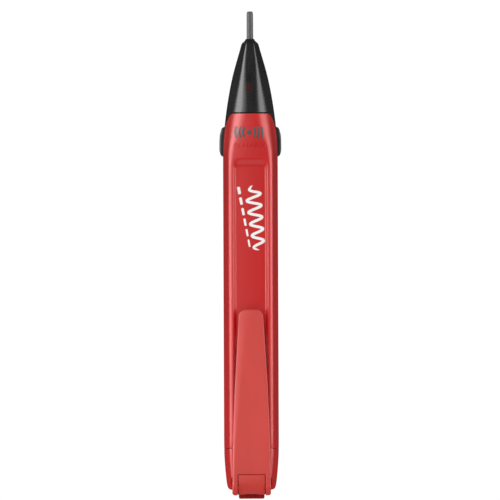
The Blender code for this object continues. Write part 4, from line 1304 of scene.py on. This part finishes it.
def make_ticks():
    """A row of raised slanting ticks."""
    ticks = []
    reach_x, reach_z = TICK_REACH
    for x in np.linspace(*TICK_SPAN, TICKS):
        line = [(x + reach_x * share, TICK_Z + reach_z * share) for share in np.linspace(-1, 1, 12)]
        ticks.append(stroke(line, round_ended(12, TICK_HALF), TICK_LIFT))
    put("raised_ticks", together(ticks), RED, "housing", "red_casing")


# ---------------- carried-over CAD nodes

WELD_DISTANCE = 0.000002


def finish_cad_nodes():
    """Gives each CAD node that stays its own procedural material, and welds its facets."""
    looks = (
        (BRASS, "sensor_antenna", "positive_contact", "return_contact", "negative_strip", "buzzer_disc"),
        (STEEL, "board_screw_1", "board_screw_2", "negative_spring", "clip_spring"),
        (BLACK, "board_carrier", "buzzer_case", "switch_body"),
        (moulded("plunger_plastic", (0.5, 0.5, 0.48), 0.45), "switch_plunger"),
        (moulded("board_laminate", (0.012, 0.11, 0.045), 0.35, grain=0.6, mottling=0.15), "circuit_board"),
        (moulded("chip_resin", (0.014, 0.014, 0.016), 0.55, grain=0.08), "controller_chip"),
        (moulded("capacitor_body", (0.3, 0.16, 0.06), 0.45, grain=0.1), "storage_capacitor"),
        (moulded("resistor_body", (0.02, 0.02, 0.022), 0.4, grain=0.1), "input_resistor"),
        (moulded("lamp_red", (0.55, 0.015, 0.015), 0.12, grain=1.0, depth=0.002), "red_led"),
        (moulded("lamp_green", (0.1, 0.5, 0.12), 0.2, grain=1.0, depth=0.002), "green_led"),
        (moulded("wire_insulation", (0.45, 0.02, 0.02), 0.4, grain=0.3), "antenna_lead"),
    )
    for name, material in [(name, material) for material, *names in looks for name in names]:
        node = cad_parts[name]
        for slot in node.material_slots:
            slot.material = material
        weld = node.modifiers.new("weld", "WELD")
        weld.merge_threshold = WELD_DISTANCE


make_front_shell()
make_rear_shell()
make_button()
make_nose()
make_guards()
make_fin()
make_cap()
make_tail()
put("hinge_knuckle", carved(knuckle_block(), *hinge_cuts()), CLIP_RED, "battery_drawer", "red_clip")
make_pin()
make_clip()
make_cells()
make_trough()
make_wave()
make_arcs()
make_ticks()
finish_cad_nodes()

# ---------------- floor, lights, camera


def studio_glow(graph):
    """The strength of the room's even light: AMBIENT on matt surfaces, MIRRORED in glossy ones."""
    bounced = remapped(graph, graph.add("LightPath", {}, "Is Glossy Ray"), AMBIENT, MIRRORED, 0.0, 1.0)
    return graph.add("Mix", {"Factor": graph.add("LightPath", {}, "Is Camera Ray"), 2: bounced, 3: BACKDROP})


def make_stage():
    """A pale floor that turns into plain white far from the tester."""
    bpy.ops.mesh.primitive_grid_add(x_subdivisions=4, y_subdivisions=4, size=FLOOR_SIZE,
                                    location=(0, 0, FLOOR_Z))
    floor = bpy.context.object
    floor.name = "studio_floor"
    material, graph = principled("studio_floor", (0.95, 0.95, 0.95), 0.9)
    length = graph.add("VectorMath", {0: graph.place()}, "Value", operation="LENGTH")
    glow = graph.add("Emission", {"Color": (1, 1, 1, 1), "Strength": studio_glow(graph)})
    far = remapped(graph, length, 0.6, 1.0, *FLOOR_FADE)
    blend = graph.add("MixShader", {0: far, 1: graph.shader.outputs[0], 2: glow})
    graph.feed(graph.tree.nodes["Material Output"], {"Surface": blend})
    floor.data.materials.append(material)

    world = bpy.data.worlds.new("studio")
    bpy.context.scene.world = world
    world.use_nodes = True
    graph = Graph(world.node_tree)
    graph.feed(graph.tree.nodes["Background"], {"Color": (1, 1, 1, 1), "Strength": studio_glow(graph)})


def feathered(light, lamp, feather):
    """Makes an area light fade out towards its edges, over a share of its half size."""
    light.use_nodes = True
    graph = Graph(light.node_tree)
    place = graph.add("NewGeometry", {}, "Position")
    centred = graph.add("VectorMath", {0: place, 1: lamp.location}, operation="SUBTRACT")
    turn = lamp.rotation_euler.to_matrix()
    fades = {}
    for i, width in enumerate((light.size, light.size_y)):
        inputs = {0: centred, 1: turn.col[i] * 2 / width}
        along = graph.add("VectorMath", inputs, "Value", operation="DOT_PRODUCT")
        share = graph.add("Math", {0: along}, operation="ABSOLUTE")
        fades[i] = remapped(graph, share, 1.0, 0.0, 1.0 - feather, 1.0, interpolation_type="SMOOTHSTEP")
    strength = graph.add("Math", fades, operation="MULTIPLY")
    graph.feed(graph.tree.nodes["Emission"], {"Strength": strength})


def soft_box(name, azimuth, height, distance, size, power, glossy_only=False, aim=0.084, feather=0.0):
    """An area light round the tester. Azimuth 0 is the camera's side and 90 is to its right."""
    light = bpy.data.lights.new(name, "AREA")
    light.shape = "RECTANGLE"
    light.size, light.size_y = size
    light.energy = power
    lamp = added(name, light)
    angle = math.radians(azimuth)
    place = Vector((distance * math.sin(angle), -distance * math.cos(angle), height))
    lamp.location = place
    lamp.rotation_euler = (Vector((0, 0, aim)) - place).to_track_quat("-Z", "Y").to_euler()
    lamp.visible_camera = False
    lamp.visible_diffuse = not glossy_only
    lamp.visible_glossy = glossy_only
    if feather:
        feathered(light, lamp, feather)
    return lamp


AMBIENT = 0.46
MIRRORED = 0.07
BACKDROP = 1.02
FLOOR_SIZE = 60.0
# The floor is low enough for the drawer to slide all the way out above it.
FLOOR_Z = -0.096
FLOOR_FADE = (0.05, 0.16)
FIELD = 0.1694
SENSOR = 0.036
DISTANCE = 6.0
CAMERA_X = -0.00025
CAMERA_HEIGHT = 0.0842
ROLL = math.radians(0.22)

make_stage()
soft_box("key", -20.0, 0.4, 1.35, (0.9, 0.9), 8.0)
soft_box("fill", 40.0, 0.35, 1.35, (0.9, 0.9), 2.9)
soft_box("left_panel", -66.0, 0.27, 0.75, (0.82, 1.0), 19.5, glossy_only=True, feather=0.5)
soft_box("front_left_card", -30.0, 0.35, 1.0, (0.65, 0.9), 4.2, glossy_only=True, feather=0.5)
soft_box("right_panel", 69.0, 0.24, 0.75, (0.76, 0.9), 10.6, glossy_only=True, feather=0.6)
soft_box("right_low_panel", 60.0, 0.12, 0.75, (0.62, 0.3), 1.6, glossy_only=True)
soft_box("back_fill", 180.0, 0.6, 1.3, (1.2, 0.9), 7.0)
soft_box("back_panel", 180.0, 0.75, 0.8, (0.9, 0.5), 4.0, glossy_only=True)

# Small cards for the underside of the shoulder's ramp and of the end cap.
ramp_card = soft_box("ramp_card", 0.0, 0.003, 0.085, (0.1, 0.06), 0.022)
ramp_card.rotation_euler = (math.pi, 0.0, 0.0)
left_foot_card = soft_box("left_foot_card", -78.0, -0.03, 0.1, (0.06, 0.05), 0.04, aim=0.008)
right_foot_card = soft_box("right_foot_card", 78.0, -0.03, 0.1, (0.06, 0.05), 0.017, aim=0.008)
for card in (ramp_card, left_foot_card, right_foot_card):
    card.visible_glossy = True

camera_data = bpy.data.cameras.new("camera")
camera_data.sensor_width = SENSOR / MM
camera_data.lens = SENSOR / MM * DISTANCE / FIELD
camera_data.clip_start = 0.01
camera_data.clip_end = 100.0
camera = added("camera", camera_data)
camera.location = (CAMERA_X, AXIS_Y * MM - DISTANCE, CAMERA_HEIGHT)
camera.rotation_euler = (math.pi / 2, ROLL, 0.0)
bpy.context.scene.camera = camera
bpy.context.scene.view_settings.view_transform = "Standard"
